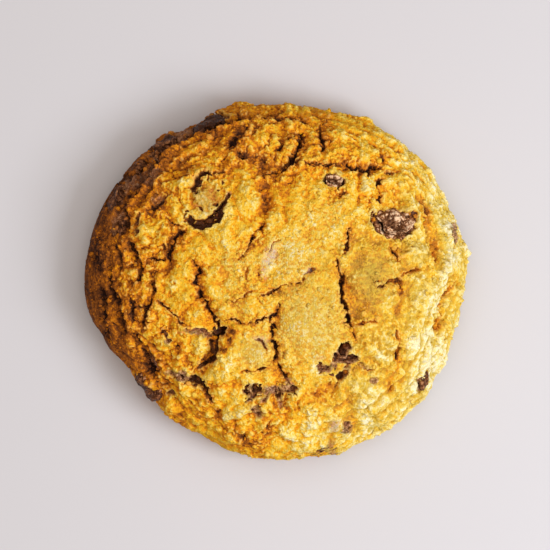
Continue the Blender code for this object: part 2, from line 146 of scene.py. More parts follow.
# Cracks: width, depth, how much the left side of the route stands over the right, and the route.
CRACKS = (
    (1.0, 2.4, 0.5, ((15.3, 5.5), (16, 3), (17, 0.5), (16.7, -2.5), (17, -5), (18, -8))),
    (1.2, 2.6, 0.4, ((18, -8), (18.5, -10), (19.5, -12), (19.8, -14.6))),
    (0.9, 1.6, 0.3, ((18.7, 13.5), (18.3, 10.5), (17.8, 8), (16.8, 6.7))),
    (0.55, 1.0, 0.4, ((-3.8, -3.9), (-1, -3), (0, -2.3), (1.2, -1.3), (3.3, -0.7), (5, -0.5), (6.9, -0.2))),
    (0.9, 1.2, 0.3, ((6.9, -0.2), (7.3, 1.5), (8.2, 2.7), (10, 3.3))),
    (0.6, 0.8, 0.0, ((1, -2.2), (3.2, -1.9))),
    (0.9, 1.4, -0.3, ((1.3, -5), (0.7, -7), (0.3, -8.2), (-1, -9), (-1.3, -10))),
    (0.7, 1.2, 0.0, ((-1, -9.3), (-2.5, -8.9), (-3.2, -9.9), (-4.5, -9.9), (-5.5, -10.3), (-7, -11))),
    (0.8, 1.2, 0.0, ((-7.5, -10.6), (-8.5, -10.6), (-10, -9.7), (-11, -9.3), (-13, -9.8))),
    (0.7, 1.2, 0.0, ((-1.3, -10), (0, -11.3), (1, -12.2))),
    (0.6, 1.2, 0.0, ((-0.9, -10), (-0.6, -12.5), (-0.5, -14.5))),
    (1.15, 2.2, 0.0, ((-0.5, -14.5), (0.5, -16), (0.6, -18), (-0.3, -20.5))),
    (0.8, 1.3, 0.0, ((0.5, -20.5), (2, -23), (3.3, -25))),
    (0.8, 1.4, 0.3, ((-2, -21.7), (-4.5, -22), (-5, -22.6), (-8, -22))),
    (1.1, 1.6, 0.3, ((-1.8, 26.8), (0.3, 27), (2, 27.3), (4, 29.3), (5.5, 32), (6.3, 35), (7, 38))),
    (0.6, 0.9, 0.0, ((6.5, 36.3), (3.5, 35.5), (1, 32.5))),
    (0.6, 0.9, 0.3, ((-2.2, 15.2), (-3.4, 13.2), (-4.8, 11.8))),
    (1.0, 1.6, 0.3, ((-4.6, 12), (-5.4, 10.6), (-6.3, 9.6), (-6.4, 8.6))),
    (0.7, 1.1, 0.0, ((-6.2, 8.9), (-4.8, 9.5))),
    (0.45, 0.7, 0.0, ((-6.4, 8.6), (-7.6, 7), (-9.4, 4.8))),
    (0.8, 1.0, 0.0, ((11.3, 38.5), (13, 40))),
    (0.9, 1.1, 0.0, ((7.3, 29.2), (11, 29), (13, 29), (15, 29.3), (18, 29.7))),
    (1.3, 1.8, 0.4, ((18, 29.7), (19, 28.2), (21, 28), (22.7, 27), (23.5, 29), (25, 28.3), (27, 28))),
    (0.9, 1.5, 0.0, ((27, 28), (27.5, 27), (28.5, 26.7), (30.5, 26.7))),
    (0.9, 1.3, 0.0, ((27, 25.5), (25.3, 24), (26, 22), (26, 20.7), (26.5, 19.5))),
    (0.9, 1.2, 0.2, ((28.5, 9.5), (29.5, 7.5), (30.3, 6.2), (30.7, 5), (31.5, 4.8))),
    (0.7, 1.0, 0.0, ((24.5, -0.5), (26.5, 0.3))),
    (0.8, 1.1, 0.2, ((25, -1.8), (27.5, -0.8), (29, 0.2), (30.5, 0), (31.5, -0.8))),
    (0.8, 0.9, 0.0, ((32, 1.5), (34, 2), (35.5, 3), (37, 2.7))),
    (0.8, 1.0, 0.2, ((19.5, -10.5), (21.5, -10.7), (23.5, -10), (25.5, -10))),
    (0.8, 1.3, -0.3, ((-21.8, 13), (-24, 12), (-25.3, 10.3), (-25.5, 8.8), (-26.5, 7.5), (-26.5, 4))),
    (0.7, 1.0, 0.0, ((-27, 9), (-29, 8.8))),
    (0.7, 1.0, 0.0, ((-27, 6), (-28.5, 5.3), (-31, 5.7))),
    (0.65, 1.1, 0.3, ((-20.5, 6), (-20, 4.5), (-18.8, 3.2), (-19, 2.2), (-20.3, 0), (-19, -1.5))),
    (0.75, 1.3, 0.3, ((-19, -1.5), (-18.5, -3.5), (-17.2, -5), (-17.3, -6.7), (-16, -8), (-14.6, -11))),
    (0.5, 0.7, 0.2, ((-12, -5.5), (-10, -5), (-8.5, -4.3), (-6.8, -3), (-5, -2.3))),
    (0.45, 0.5, 0.0, ((-7.2, 4.3), (-7, 1), (-7, -2))),
    (0.5, 0.6, 0.0, ((-5, 3), (-3.5, 1))),
    (0.65, 1.0, 0.0, ((-30, -4.5), (-28, -6), (-26, -7.5), (-24.7, -9), (-24, -10), (-22, -11))),
    (0.8, 1.2, 0.0, ((-28.5, -11.8), (-26.5, -14.5))),
    (0.7, 1.3, -0.4, ((-35, -13), (-33, -17), (-32, -20), (-30.5, -22.5), (-29, -24.3))),
    (1.0, 1.5, 0.0, ((-18, -26), (-17, -28), (-15.5, -30))),
    (1.2, 1.5, -0.4, ((45.3, 0), (44, -2.5), (43, -4), (42, -5), (41, -9), (40.5, -13))),
    (0.9, 1.0, 0.0, ((36.3, 26.3), (37.3, 25))),
    (0.8, 0.9, 0.0, ((38.3, 5.7), (39.5, 6.8))),
    (0.9, 1.0, 0.0, ((28.5, 32.5), (30, 31))),
    (1.0, 1.0, 0.3, ((30, -12), (31, -17), (30, -20))),
    (0.8, 0.9, 0.0, ((-9, -37.5), (-7, -40))),
    (0.9, 1.0, 0.0, ((-24.5, -15.5), (-23.5, -17))),
    (0.7, 0.5, 0.0, ((-0.5, 40.5), (4, 40.2), (8, 39.8))),
    (1.0, 1.3, -1.0, ((-34.2, -0.5), (-33.4, 3), (-33.6, 5.5), (-35.3, 8.2), (-36.2, 10.5))),
    (1.0, 1.2, -1.1, ((-36.3, 12), (-36.8, 17), (-36, 20.5), (-33, 24), (-30, 28.5), (-26.8, 33.2))),
    (0.9, 1.0, -1.2, ((-26.5, 33.5), (-21, 36), (-15, 37.9), (-9, 39.4), (-4, 40.9), (2, 42))),
    (1.1, 1.2, -0.8, ((-32.6, -11.8), (-32.4, -8.8), (-31.2, -5.8), (-30.2, -2.5), (-29.9, 0.5))),
    (1.0, 1.1, -0.9, ((-37.2, -13.6), (-37.9, -10), (-38.4, -7), (-39.8, -4), (-41.2, -1.4), (-40.6, 4))),
    (0.9, 1.0, -0.8, ((-41.8, -10.8), (-42.3, -7), (-42.8, -4), (-43.9, -1.2))),
    (0.9, 1.0, -0.6, ((-41, -14.4), (-42, -11.5))),
    (0.9, 0.8, -0.7, ((-43.4, 3), (-44.6, 6), (-44.4, 10.5))),
    (0.9, 0.8, -0.7, ((-38.6, 2), (-38.2, 6), (-38.8, 9.5))),
    (0.9, 0.9, -0.7, ((-36.4, -3), (-35.6, -7), (-35.2, -10.5))),
    (1.5, 1.7, 0.0, ((-11.6, 33.6), (-10.4, 34.8), (-9.2, 35.6))),
    (1.2, 1.4, 0.0, ((-8.9, 32), (-7.9, 30))),
    (1.2, 1.3, 0.0, ((-7.6, 37), (-6.8, 38.4))),
    (0.8, 1.2, 0.3, ((-16, 26.7), (-14.3, 26.9), (-12.6, 27.4))),
    (0.5, 0.7, 0.0, ((-26, 25.6), (-23, 26.2), (-20, 26.2))),
    (0.5, 0.8, 0.0, ((-25, 22.6), (-23, 22.1), (-21.4, 22.6))),
    (0.5, 0.7, 0.0, ((-27, 15.4), (-25, 14.1), (-23, 13.6))),
    (1.0, 1.3, 0.0, ((-31.6, 17.4), (-29.6, 18.3), (-28, 20.6))),
    (0.8, 1.2, 0.0, ((11.5, 39.2), (11.4, 37), (12.2, 34.6), (12.1, 31.8))),
    (0.8, 0.9, 0.0, ((17.2, 29.8), (19.2, 29.4))),
    (0.7, 0.9, 0.0, ((-14.9, -14.5), (-14.6, -17), (-14.7, -19.5))),
    (0.8, 1.2, 0.0, ((-17.2, -18.5), (-18.6, -20), (-19.8, -21.8))),
    (1.0, 1.0, 0.2, ((27.4, -0.6), (29.4, 0.4), (31.2, -0.2), (31.8, -3))),
    (0.9, 1.0, 0.2, ((31.6, 1.4), (34, 2.3), (36.4, 3.2))),
    (0.6, 0.8, 0.0, ((25.6, 24.6), (26.4, 25.6))),
    (0.6, 0.7, 0.0, ((15.4, 20.2), (16.8, 21.6), (16.4, 22.8))),
)

# Open valleys with sloping sides: half width, depth, how much their floors are darkened, partly browning and partly
# painted shade, and the route.
VALLEYS = (
    (0.8, 1.1, 0.40, ((-25.6, 34.9), (-22.4, 35.4), (-20.2, 37.2), (-17.0, 38.5), (-12.4, 39.5), (-7.0, 41.2))),
    (1.7, 1.4, 0.30, ((-3.4, 26), (-3.2, 23.5), (-2.2, 20.5), (-2.4, 17.5), (-1.4, 15.8))),
    (1.0, 0.9, 0.30, ((-3, 15.5), (-3.4, 13), (-3.2, 10.5))),
    (1.6, 1.2, 0.26, ((8.6, -29.8), (10.6, -28.5), (13, -27), (15.4, -25))),
    (1.2, 0.9, 0.30, ((16.6, -31), (18.2, -29.8), (19.5, -29))),
    (1.3, 1.2, 0.46, ((35.3, 22.3), (37, 18.6), (38, 15), (39.6, 11.6), (40.6, 8), (40.3, 3))),
    (1.0, 0.8, 0.14, ((-14.3, -31), (-13.8, -34.2), (-12.3, -36.5), (-12.5, -38.5))),
    (1.5, 1.9, 0.42, ((-14.6, -12), (-15.3, -15), (-15.7, -18), (-17.3, -20.5), (-18.6, -23.5))),
    (1.5, 1.0, 0.25, ((-22, 13), (-24.4, 11.4), (-26, 8), (-26.6, 4), (-27.5, 0))),
    (1.4, 0.9, 0.22, ((-20, 5), (-19, 0), (-17.5, -5), (-15, -10))),
    (1.0, 1.1, 0.24, ((17, 29.6), (20, 28.4), (23, 27.4), (27, 28))),
    (1.0, 1.0, 0.16, ((0.2, 27.2), (2.4, 28.8), (4.4, 31.4), (5.8, 34), (6.6, 37))),
    (0.9, 0.6, 0.10, ((11.4, 39), (11.8, 36), (12, 32))),
    (1.0, 0.6, 0.06, ((-34.8, -12.5), (-33, -17), (-31.2, -21.5), (-29.2, -24))),
    (0.9, 0.7, 0.26, ((31.2, -16.5), (30.2, -20.5), (28.6, -25), (28, -28))),
    (1.5, 0.7, 0.12, ((30, 24), (32, 10), (33, 0), (32, -10), (30, -20))),
    (1.6, 0.8, 0.14, ((-13, 33), (-9, 34.5), (-7, 31), (-5, 28))),
    (1.2, 0.8, 0.18, ((-17.6, -27), (-16, -30), (-14.5, -33))),
    (1.4, 0.9, 0.30, ((-32, 17), (-29.5, 18.4), (-27.5, 21))),
    (1.4, 0.8, 0.24, ((17.8, 1), (18.4, -3), (19.2, -7), (20.5, -10))),
    (1.2, 0.7, 0.26, ((27.4, -0.6), (30, 0.3), (32, -1), (31.2, -7), (30, -10))),
    (1.2, 0.7, 0.24, ((31.6, 1.4), (34, 2.3), (36.6, 3.3))),
    (1.2, 0.7, 0.22, ((28.8, 9.4), (29.8, 7), (31, 4.8))),
    (1.2, 0.7, 0.20, ((1.2, -5), (0.4, -8), (-0.6, -12), (0.4, -17), (0.4, -21), (3, -25))),
    (1.0, 0.9, 0.42, ((44.6, 0.5), (43.3, -3.2), (42.2, -6), (41.2, -10), (40.6, -14))),
)

# Long ridges: half width, height and the route.
RIDGES = (
    (0.7, 0.8, ((-27.0, 31.8), (-25.0, 33.4), (-21.2, 34.4), (-19.6, 35.9), (-17.6, 37.2), (-14.0, 38.0),
                (-10.0, 39.3), (-5.0, 40.4))),
    (2.2, 1.3, ((-12.6, -14.5), (-12.8, -20), (-13.8, -25), (-12.8, -30))),
    (1.8, 0.9, ((-36.5, -15), (-33.5, -22.5), (-29.5, -28), (-24, -33))),
    (1.5, 0.9, ((42.6, 6), (41.8, 0), (41.2, -4), (40.0, -10))),
    (1.4, 0.8, ((31.2, -12), (30.4, -16), (29.6, -20))),
    (1.6, 0.8, ((36.8, 21.5), (34.5, 24.5), (31, 27))),
    (1.7, 0.9, ((-44.6, -2), (-44.2, -7), (-42.6, -12))),
    (1.6, 0.9, ((-41.8, -3), (-40.2, -7), (-39.6, -12))),
    (1.7, 0.8, ((-36.6, 0), (-36.2, -5), (-36, -10))),
    (1.5, 0.8, ((4.8, 27), (7.6, 30.5), (9.3, 35))),
    (1.4, 0.7, ((-5.2, 23), (-4.6, 20), (-4.6, 16.5))),
    (1.3, 0.7, ((-22.4, 26.6), (-23, 24), (-24, 19))),
    (1.3, 0.7, ((19.5, 33), (23, 31.2), (28.5, 31))),
    (1.5, 0.7, ((6.2, 1.2), (3.4, 1.4), (0, -0.4))),
    (1.2, 0.6, ((14.6, 4.6), (15.3, 0), (15.2, -5), (16.6, -9))),
)

# Trenches round chocolate that lies under a skin of dough: half width, depth and the route.
TRENCHES = (
    (0.62, 2.4, ((-15.8, 26.4), (-17.3, 27.2), (-18.8, 26.2), (-19.6, 24.9), (-20.6, 23.4), (-20.8, 22.0))),
    (0.60, 2.2, ((-16.4, 26.2), (-16.8, 25.2))),
    (0.60, 2.6, ((-21.9, 15.6), (-21.0, 14.2), (-19.5, 13.7), (-18.0, 13.5), (-16.0, 14.1), (-14.2, 15.3),
                 (-13.2, 16.6), (-12.9, 18.0))),
    (0.42, 2.2, ((-17.4, 15.6), (-16.0, 16.5), (-14.5, 17.6), (-13.3, 18.8), (-12.2, 20.2), (-11.7, 21.5))),
    (0.45, 2.8, ((24.5, 17.4), (24.35, 15.8), (24.7, 14.3), (26.0, 14.5), (26.2, 13.8), (26.9, 13.1),
                 (26.6, 12.3), (27.6, 11.6), (28.4, 11.0), (29.5, 10.8))),
    (0.42, 2.6, ((31.4, 11.4), (32.8, 11.7), (34.0, 12.2), (35.3, 13.4))),
    (0.30, 1.3, ((32.2, 17.5), (32.8, 16.6), (33.4, 16.2), (34.1, 16.7), (34.6, 18.0))),
    (0.30, 1.4, ((13.2, 25.6), (12.9, 25.0), (13.4, 24.3), (14.4, 23.9), (15.3, 24.1))),
    (0.22, 0.9, ((13.3, 25.2), (14.3, 25.2), (15.6, 25.3))),
    (0.45, 1.9, ((17.0, 25.3), (16.9, 24.3), (16.2, 23.6), (15.7, 23.0), (15.7, 22.4))),
    (0.30, 0.7, ((-2, 6.5), (-0.5, 9.3), (2, 11))),
    (0.45, 1.1, ((-5, -14.4), (-3.2, -14.9), (-2.8, -16.5), (-2, -17.9))),
    (0.50, 1.3, ((-28.6, -12), (-27.2, -13.4), (-26.4, -14.7))),
    (0.45, 1.3, ((-21.8, -11.8), (-19.4, -12.0), (-17.4, -12.9), (-16.4, -14.0))),
    (0.75, 2.0, ((-14.9, -14.6), (-14.7, -17.0), (-15.0, -19.0), (-16.8, -20.2), (-18.2, -20.9), (-19.5, -22.0))),
    (0.40, 1.6, ((14.3, -20.0), (15.4, -19.5), (16.3, -19.6), (17.5, -19.7), (18.3, -19.2), (19.3, -19.6),
                 (20.2, -18.8), (20.9, -19.6), (21.3, -20.0))),
    (0.35, 1.3, ((15.5, -20.0), (15.0, -21.6))),
    (0.30, 1.2, ((22.2, -22.0), (23.2, -22.1), (24.5, -21.9), (25.1, -21.0))),
    (0.30, 1.1, ((19.4, -20.9), (20.1, -21.1))),
    (0.26, 1.0, ((21.6, -20.6), (22.3, -20.9))),
    (0.30, 1.0, ((25.2, -23.8), (24.9, -24.8), (24.7, -25.5))),
    (0.42, 1.4, ((2.3, -24.7), (3.0, -25.1), (3.6, -25.7))),
    (0.30, 1.2, ((-3.4, -29.8), (-2.6, -29.3), (-1.7, -28.8))),
    (0.35, 1.2, ((-6.4, -29.6), (-7.7, -30.1))),
    (0.22, 1.0, ((-0.6, -27.0), (0.8, -26.4))),
    (0.40, 1.4, ((36.2, -26.3), (36.7, -27.4), (36.3, -28.3))),
    (0.26, 1.1, ((36.9, -26.0), (37.2, -26.8))),
)

# Lips of chocolate raised along a chunk's edge: half width, height, bloom, which on the paler lips is partly a
# painted highlight, and the route.
LIPS = (
    (0.50, 0.9, 1.25, ((29.2, 11.7), (31.0, 12.1), (32.6, 12.6), (34.2, 13.7), (34.9, 15.0), (34.8, 17.4))),
    (0.45, 0.5, 1.15, ((27.2, 12.9), (27.8, 12.0), (29.2, 11.5))),
    (0.40, 0.6, 1.00, ((16.2, 25.2), (16.1, 24.3))),
    (0.55, 0.7, 0.34, ((-20.8, 15.2), (-18.6, 14.5), (-16.6, 15.0), (-15.0, 15.9), (-13.8, 17.1))),
)

# Places where the dough has opened over chocolate: x, y, half length, half width, turn, depth.
OPENINGS = (
    (-19.3, -25.2, 2.6, 1.5, -35, 3.6),
    (-14.2, -12.9, 1.6, 1.2, 30, 3.4),
    (-23.4, -23.7, 1.3, 0.5, -14, 1.6),
    (-16.0, -17.0, 0.6, 1.8, 10, 1.5),
    (27.6, 14.6, 3.3, 3.3, 0, 1.6),
    (31.8, 14.3, 3.5, 3.0, 8, 1.7),
    (34.6, 16.2, 0.7, 1.8, -5, 1.6),
    (28.7, 12.6, 2.4, 1.9, -20, 1.6),
    (14.0, 25.4, 1.9, 1.4, -10, 1.5),
    (16.5, 24.5, 0.8, 1.1, -20, 1.8),
    (-20.6, 15.2, 1.1, 1.0, 0, 1.9),
    (-18.5, 14.5, 1.9, 1.0, 0, 2.0),
    (-16.2, 15.2, 2.1, 1.2, 30, 2.0),
    (-14.2, 16.7, 1.8, 1.05, 55, 1.9),
    (-12.7, 19.0, 1.5, 0.55, 60, 1.6),
    (-11.9, 20.9, 1.1, 0.5, 75, 1.5),
    (-19.3, 21.8, 0.65, 0.7, 0, 2.0),
    (-20.3, 22.9, 0.7, 1.1, 0, 1.4),
    (-19.0, 24.4, 0.7, 1.3, -35, 1.4),
    (-22.0, 17.3, 0.7, 0.4, -10, 1.4),
    (-22.6, 16.1, 0.4, 0.6, 0, 1.4),
    (-22.3, 15.0, 0.35, 0.3, 0, 1.3),
    (-18.5, 17.8, 0.6, 0.55, 0, 0.9),
    (-14.4, 22.5, 0.45, 0.4, 0, 1.2),
    (-13.0, 24.7, 0.4, 0.35, 0, 1.1),
    (-19.6, 15.1, 0.9, 0.35, 5, 1.0),
    (-14.8, 19.1, 0.9, 0.35, 20, 1.0),
    (16.9, -17.2, 0.95, 1.4, -12, 2.8),
    (17.6, -16.2, 0.9, 0.6, 0, 2.2),
    (18.4, -15.3, 0.55, 0.35, 0, 1.5),
    (18.5, -16.8, 0.3, 0.3, 0, 1.2),
    (15.2, -18.2, 0.5, 0.9, 10, 1.9),
    (14.9, -19.5, 0.7, 0.6, 20, 1.8),
    (19.1, -18.7, 0.9, 0.45, 0, 1.3),
    (11.2, -20.9, 0.5, 0.5, 0, 1.3),
    (12.1, -21.9, 1.2, 1.0, 0, 1.1),
    (11.3, -22.9, 0.5, 0.35, 0, 1.3),
    (18.4, -20.6, 0.5, 0.4, 0, 1.1),
    (17.7, -21.5, 0.4, 0.5, 0, 1.0),
    (17.4, -22.9, 0.7, 0.7, 0, 1.9),
    (16.5, -24.2, 0.9, 1.3, -30, 2.1),
    (-7.2, -26.2, 0.6, 0.7, 0, 1.8),
    (-7.2, -27.4, 0.5, 0.6, 0, 1.3),
    (-8.0, -27.1, 0.3, 0.3, 0, 1.1),
    (-4.6, -27.0, 0.8, 0.8, 0, 2.4),
    (-3.6, -26.8, 0.4, 0.9, 0, 2.0),
    (-5.3, -28.2, 0.8, 0.7, 30, 2.4),
    (-4.0, -28.6, 0.6, 0.35, 0, 1.5),
    (-6.5, -29.3, 0.6, 0.5, 0, 1.9),
    (-3.7, -30.9, 0.55, 0.4, 20, 1.5),
    (-5.7, -32.2, 0.45, 0.45, 0, 1.2),
    (-4.3, -33.2, 0.55, 0.55, 0, 1.3),
    (-3.3, -32.8, 0.35, 0.35, 0, 1.1),
    (1.2, -26.0, 0.5, 0.22, -10, 1.1),
    (0.9, -28.7, 0.55, 1.1, 10, 1.7),
    (1.8, -28.5, 0.4, 0.4, 0, 1.5),
    (1.0, -27.2, 0.3, 0.5, 0, 1.2),
    (4.5, -26.9, 0.7, 0.8, 0, 1.5),
    (3.2, -27.6, 0.7, 0.3, 0, 1.2),
    (3.7, -28.5, 0.35, 0.3, 0, 1.3),
    (4.9, -27.8, 0.4, 0.4, 0, 1.2),
    (1.4, -31.2, 0.3, 0.6, 0, 0.7),
    (-25.6, -22.8, 0.5, 0.5, 0, 1.2),
    (-24.8, -24.3, 0.4, 0.35, 0, 1.2),
    (-22.6, -25.4, 0.6, 0.3, 0, 1.1),
    (-21.5, -24.7, 0.7, 0.6, 0, 2.4),
    (-20.4, -23.8, 0.9, 0.55, 0, 2.6),
    (-18.8, -24.9, 0.9, 1.3, 20, 3.0),
    (-17.8, -26.2, 0.7, 0.8, 20, 2.8),
    (-20.4, -26.4, 0.7, 0.3, -20, 1.4),
    (-13.6, -12.2, 1.2, 0.6, 14, 3.2),
    (-14.9, -13.2, 1.2, 0.8, 8, 3.4),
    (-14.3, -10.8, 0.5, 1.0, 10, 2.4),
    (-15.0, -9.1, 0.4, 0.7, 10, 1.8),
    (-26.2, -14.8, 0.55, 0.45, 0, 1.6),
    (-26.2, -28.0, 0.8, 0.65, 20, 1.3),
    (44.9, 8.5, 0.35, 0.45, 0, 1.4),
    (44.1, 11.4, 0.25, 1.2, 8, 0.7),
    (38.3, -23.0, 0.40, 0.9, -15, 1.4),
    (37.6, -23.9, 0.4, 0.25, 10, 1.1),
    (38.6, -24.6, 0.22, 0.3, 0, 1.0),
    (36.6, -25.2, 0.3, 0.4, 0, 1.2),
    (35.9, -25.9, 0.35, 0.4, 0, 1.1),
    (18.1, -35.7, 1.1, 0.35, -5, 1.0),
    (18.4, -36.3, 0.35, 0.3, 0, 1.3),
    (19.0, -37.1, 0.45, 0.4, 0, 1.3),
    (17.7, -37.6, 0.3, 0.3, 0, 1.1),
    (-38.9, 21.0, 2.3, 1.4, 68, 2.0),
    (-41.6, 19.4, 1.6, 0.9, 62, 1.2),
    (-37.9, 23.3, 1.0, 1.0, 0, 1.8),
    (-38.4, 25.2, 1.9, 0.9, 50, 1.3),
    (-36.6, 25.6, 1.3, 0.6, 66, 1.9),
    (-34.9, 26.8, 0.45, 0.4, 0, 1.5),
    (-33.4, 27.9, 1.5, 0.55, 66, 1.8),
    (-32.2, 29.9, 1.1, 0.5, 10, 1.6),
    (-31.0, 31.1, 1.2, 0.55, 30, 1.2),
    (-28.2, 31.8, 1.8, 0.7, 66, 2.0),
    (-26.7, 34.7, 1.7, 0.8, 38, 1.9),
    (-21.0, 38.9, 1.0, 0.6, 35, 1.6),
    (-18.6, 39.8, 1.8, 0.9, 25, 1.5),
    (-16.2, 39.2, 0.7, 0.7, 0, 1.7),
    (-14.6, 41.0, 2.4, 0.9, 20, 1.6),
    (-12.2, 41.4, 0.8, 0.6, 0, 1.4),
    (-38.6, 14.6, 2.6, 0.9, 68, 1.3),
    (-39.9, 12.0, 1.2, 0.7, 60, 1.3),
    (-37.5, 16.8, 1.5, 0.4, 85, 1.4),
    (-34.4, 14.4, 1.9, 0.55, 78, 1.0),
    (-33.9, 12.0, 0.7, 0.5, 40, 1.2),
    (-35.5, 8.7, 0.75, 0.8, 0, 1.7),
    (-33.4, -28.2, 5.4, 0.9, 130, 1.4),
    (-36.2, -22.6, 1.4, 0.7, 118, 1.3),
)

# Thin smears of chocolate on the dough: x, y, half length, half width, turn, strength.
SMEARS = (
    (-17.6, 14.4, 4.8, 1.3, 14, 0.62),
    (-19.6, -25.0, 2.4, 1.6, -20, 0.60),
    (-14.4, -13.0, 1.6, 1.2, 30, 0.60),
    (-39.4, 13.6, 3.4, 1.5, 66, 0.75),
    (-37.6, 16.6, 1.8, 0.8, 80, 0.7),
    (-34.3, 13.8, 2.6, 0.9, 80, 0.6),
    (-38.8, 22.0, 5.4, 2.4, 58, 0.80),
    (-36.0, 24.6, 2.2, 1.6, 50, 0.55),
    (-33.6, 28.2, 2.8, 1.2, 58, 0.70),
    (-30.6, 31.0, 2.6, 1.3, 40, 0.80),
    (-30.6, 25.6, 4.0, 2.4, 40, 0.42),
    (-27.2, 33.4, 3.2, 1.5, 48, 0.80),
    (-23.2, 36.8, 3.6, 1.2, 28, 0.60),
    (-17.4, 39.6, 5.6, 1.8, 20, 0.80),
    (-31.0, -20.6, 3.0, 0.8, -62, 0.50),
    (-20.6, -24.6, 3.4, 1.5, -12, 0.55),
    (-15.2, -16.6, 1.2, 4.4, 6, 0.42),
    (-17.6, -20.8, 2.4, 1.0, 30, 0.42),
    (17.0, -18.6, 3.8, 2.2, -25, 0.64),
    (16.8, -23.6, 1.6, 2.2, -30, 0.60),
    (12.6, -21.6, 1.8, 1.4, 0, 0.62),
    (-5.2, -28.0, 3.2, 1.6, 42, 0.50),
    (0.6, -27.4, 3.0, 1.7, 0, 0.52),
    (4.4, -27.2, 1.4, 1.4, 0, 0.50),
    (-5.2, -32.4, 1.6, 1.0, -60, 0.42),
    (12.4, -41.8, 2.6, 0.8, 50, 0.40),
    (11.0, -43.0, 3.4, 0.7, 10, 0.50),
    (14.6, -43.2, 1.6, 0.5, 14, 0.60),
    (-33.2, -28.2, 6.6, 1.5, 130, 0.6),
    (37.2, -25.4, 2.6, 0.9, 66, 0.36),
    (2.8, 29.6, 4.6, 1.0, 52, 0.32),
    (-2.6, 22.4, 1.0, 3.2, 0, 0.32),
    (-17.4, 20.6, 4.6, 4.8, 0, 0.30),
)

# Pinkish brown films where crumbs and chocolate are mixed: x, y, half length, half width, turn, strength.
BLUSHES = (
    (-0.8, -27.4, 3.6, 1.6, 0, 0.80),
    (3.0, -26.6, 2.2, 1.5, 0, 0.75),
    (-6.4, -27.2, 1.9, 1.5, 0, 0.62),
    (-6.6, -29.6, 1.8, 1.0, 40, 0.62),
    (-2.6, -29.4, 1.8, 0.8, 20, 0.60),
    (-4.6, -32.2, 2.6, 1.5, -55, 0.66),
    (1.4, -30.2, 1.0, 2.2, 0, 0.50),
    (3.6, -24.9, 1.0, 0.9, 0, 0.60),
    (12.1, -21.8, 1.7, 1.6, 0, 0.90),
    (14.6, -20.8, 1.5, 1.2, 0, 0.75),
    (16.6, -19.8, 2.4, 1.2, 0, 0.70),
    (19.6, -19.4, 2.2, 1.3, -10, 0.75),
    (18.2, -17.0, 1.2, 1.4, 0, 0.55),
    (15.2, -18.6, 1.4, 1.6, 0, 0.60),
    (18.0, -21.8, 1.4, 1.2, 0, 0.55),
    (24.4, -24.7, 1.4, 1.1, 0, 0.80),
    (22.6, -21.4, 2.2, 0.8, -15, 0.45),
    (-23.4, -23.4, 2.8, 1.5, -12, 1.0),
    (-26.0, -22.4, 1.6, 1.0, 0, 0.55),
    (-20.0, -12.6, 2.8, 1.1, -8, 0.72),
    (-17.0, -13.8, 1.4, 0.9, -20, 0.60),
    (-26.6, -14.8, 1.2, 1.0, 0, 0.62),
    (-26.2, -28.0, 1.4, 1.1, 0, 0.50),
    (-2.8, -15.6, 2.0, 1.2, -40, 0.45),
    (44.4, 12.8, 0.9, 1.9, 8, 1.00),
    (44.8, 10.6, 0.8, 1.7, 0, 0.95),
    (36.3, -26.2, 1.1, 2.4, -10, 0.66),
    (38.2, -24.0, 1.0, 1.6, -10, 0.50),
    (18.0, -36.6, 1.9, 1.6, 0, 1.0),
    (14.5, -36.0, 1.6, 1.6, 0, 0.45),
    (13.6, -40.6, 1.4, 1.8, -20, 0.50),
    (14.4, -42.6, 1.6, 1.0, 10, 0.50),
    (29.6, 14.6, 6.4, 4.2, 6, 0.50),
    (14.6, 25.2, 3.4, 2.0, -10, 0.55),
    (-17.2, 20.4, 5.4, 5.6, 0, 0.34),
    (-11.8, 21.4, 1.0, 1.0, 0, 0.50),
    (-24.0, 36.6, 3.4, 1.4, 28, 0.60),
    (-19.0, 38.2, 3.0, 0.9, 12, 0.70),
    (-29.6, 31.6, 2.0, 1.4, 40, 0.50),
    (-35.2, 24.6, 2.4, 1.8, 45, 0.50),
    (-31.0, 26.4, 3.4, 2.6, 40, 0.40),
    (-29.0, 20.6, 2.0, 1.6, 30, 0.45),
    (-39.0, 14.6, 3.4, 2.0, 66, 0.55),
    (-30.2, -20.6, 2.6, 0.8, -62, 0.65),
    (9.6, 3.0, 1.0, 0.6, 40, 0.50),
)
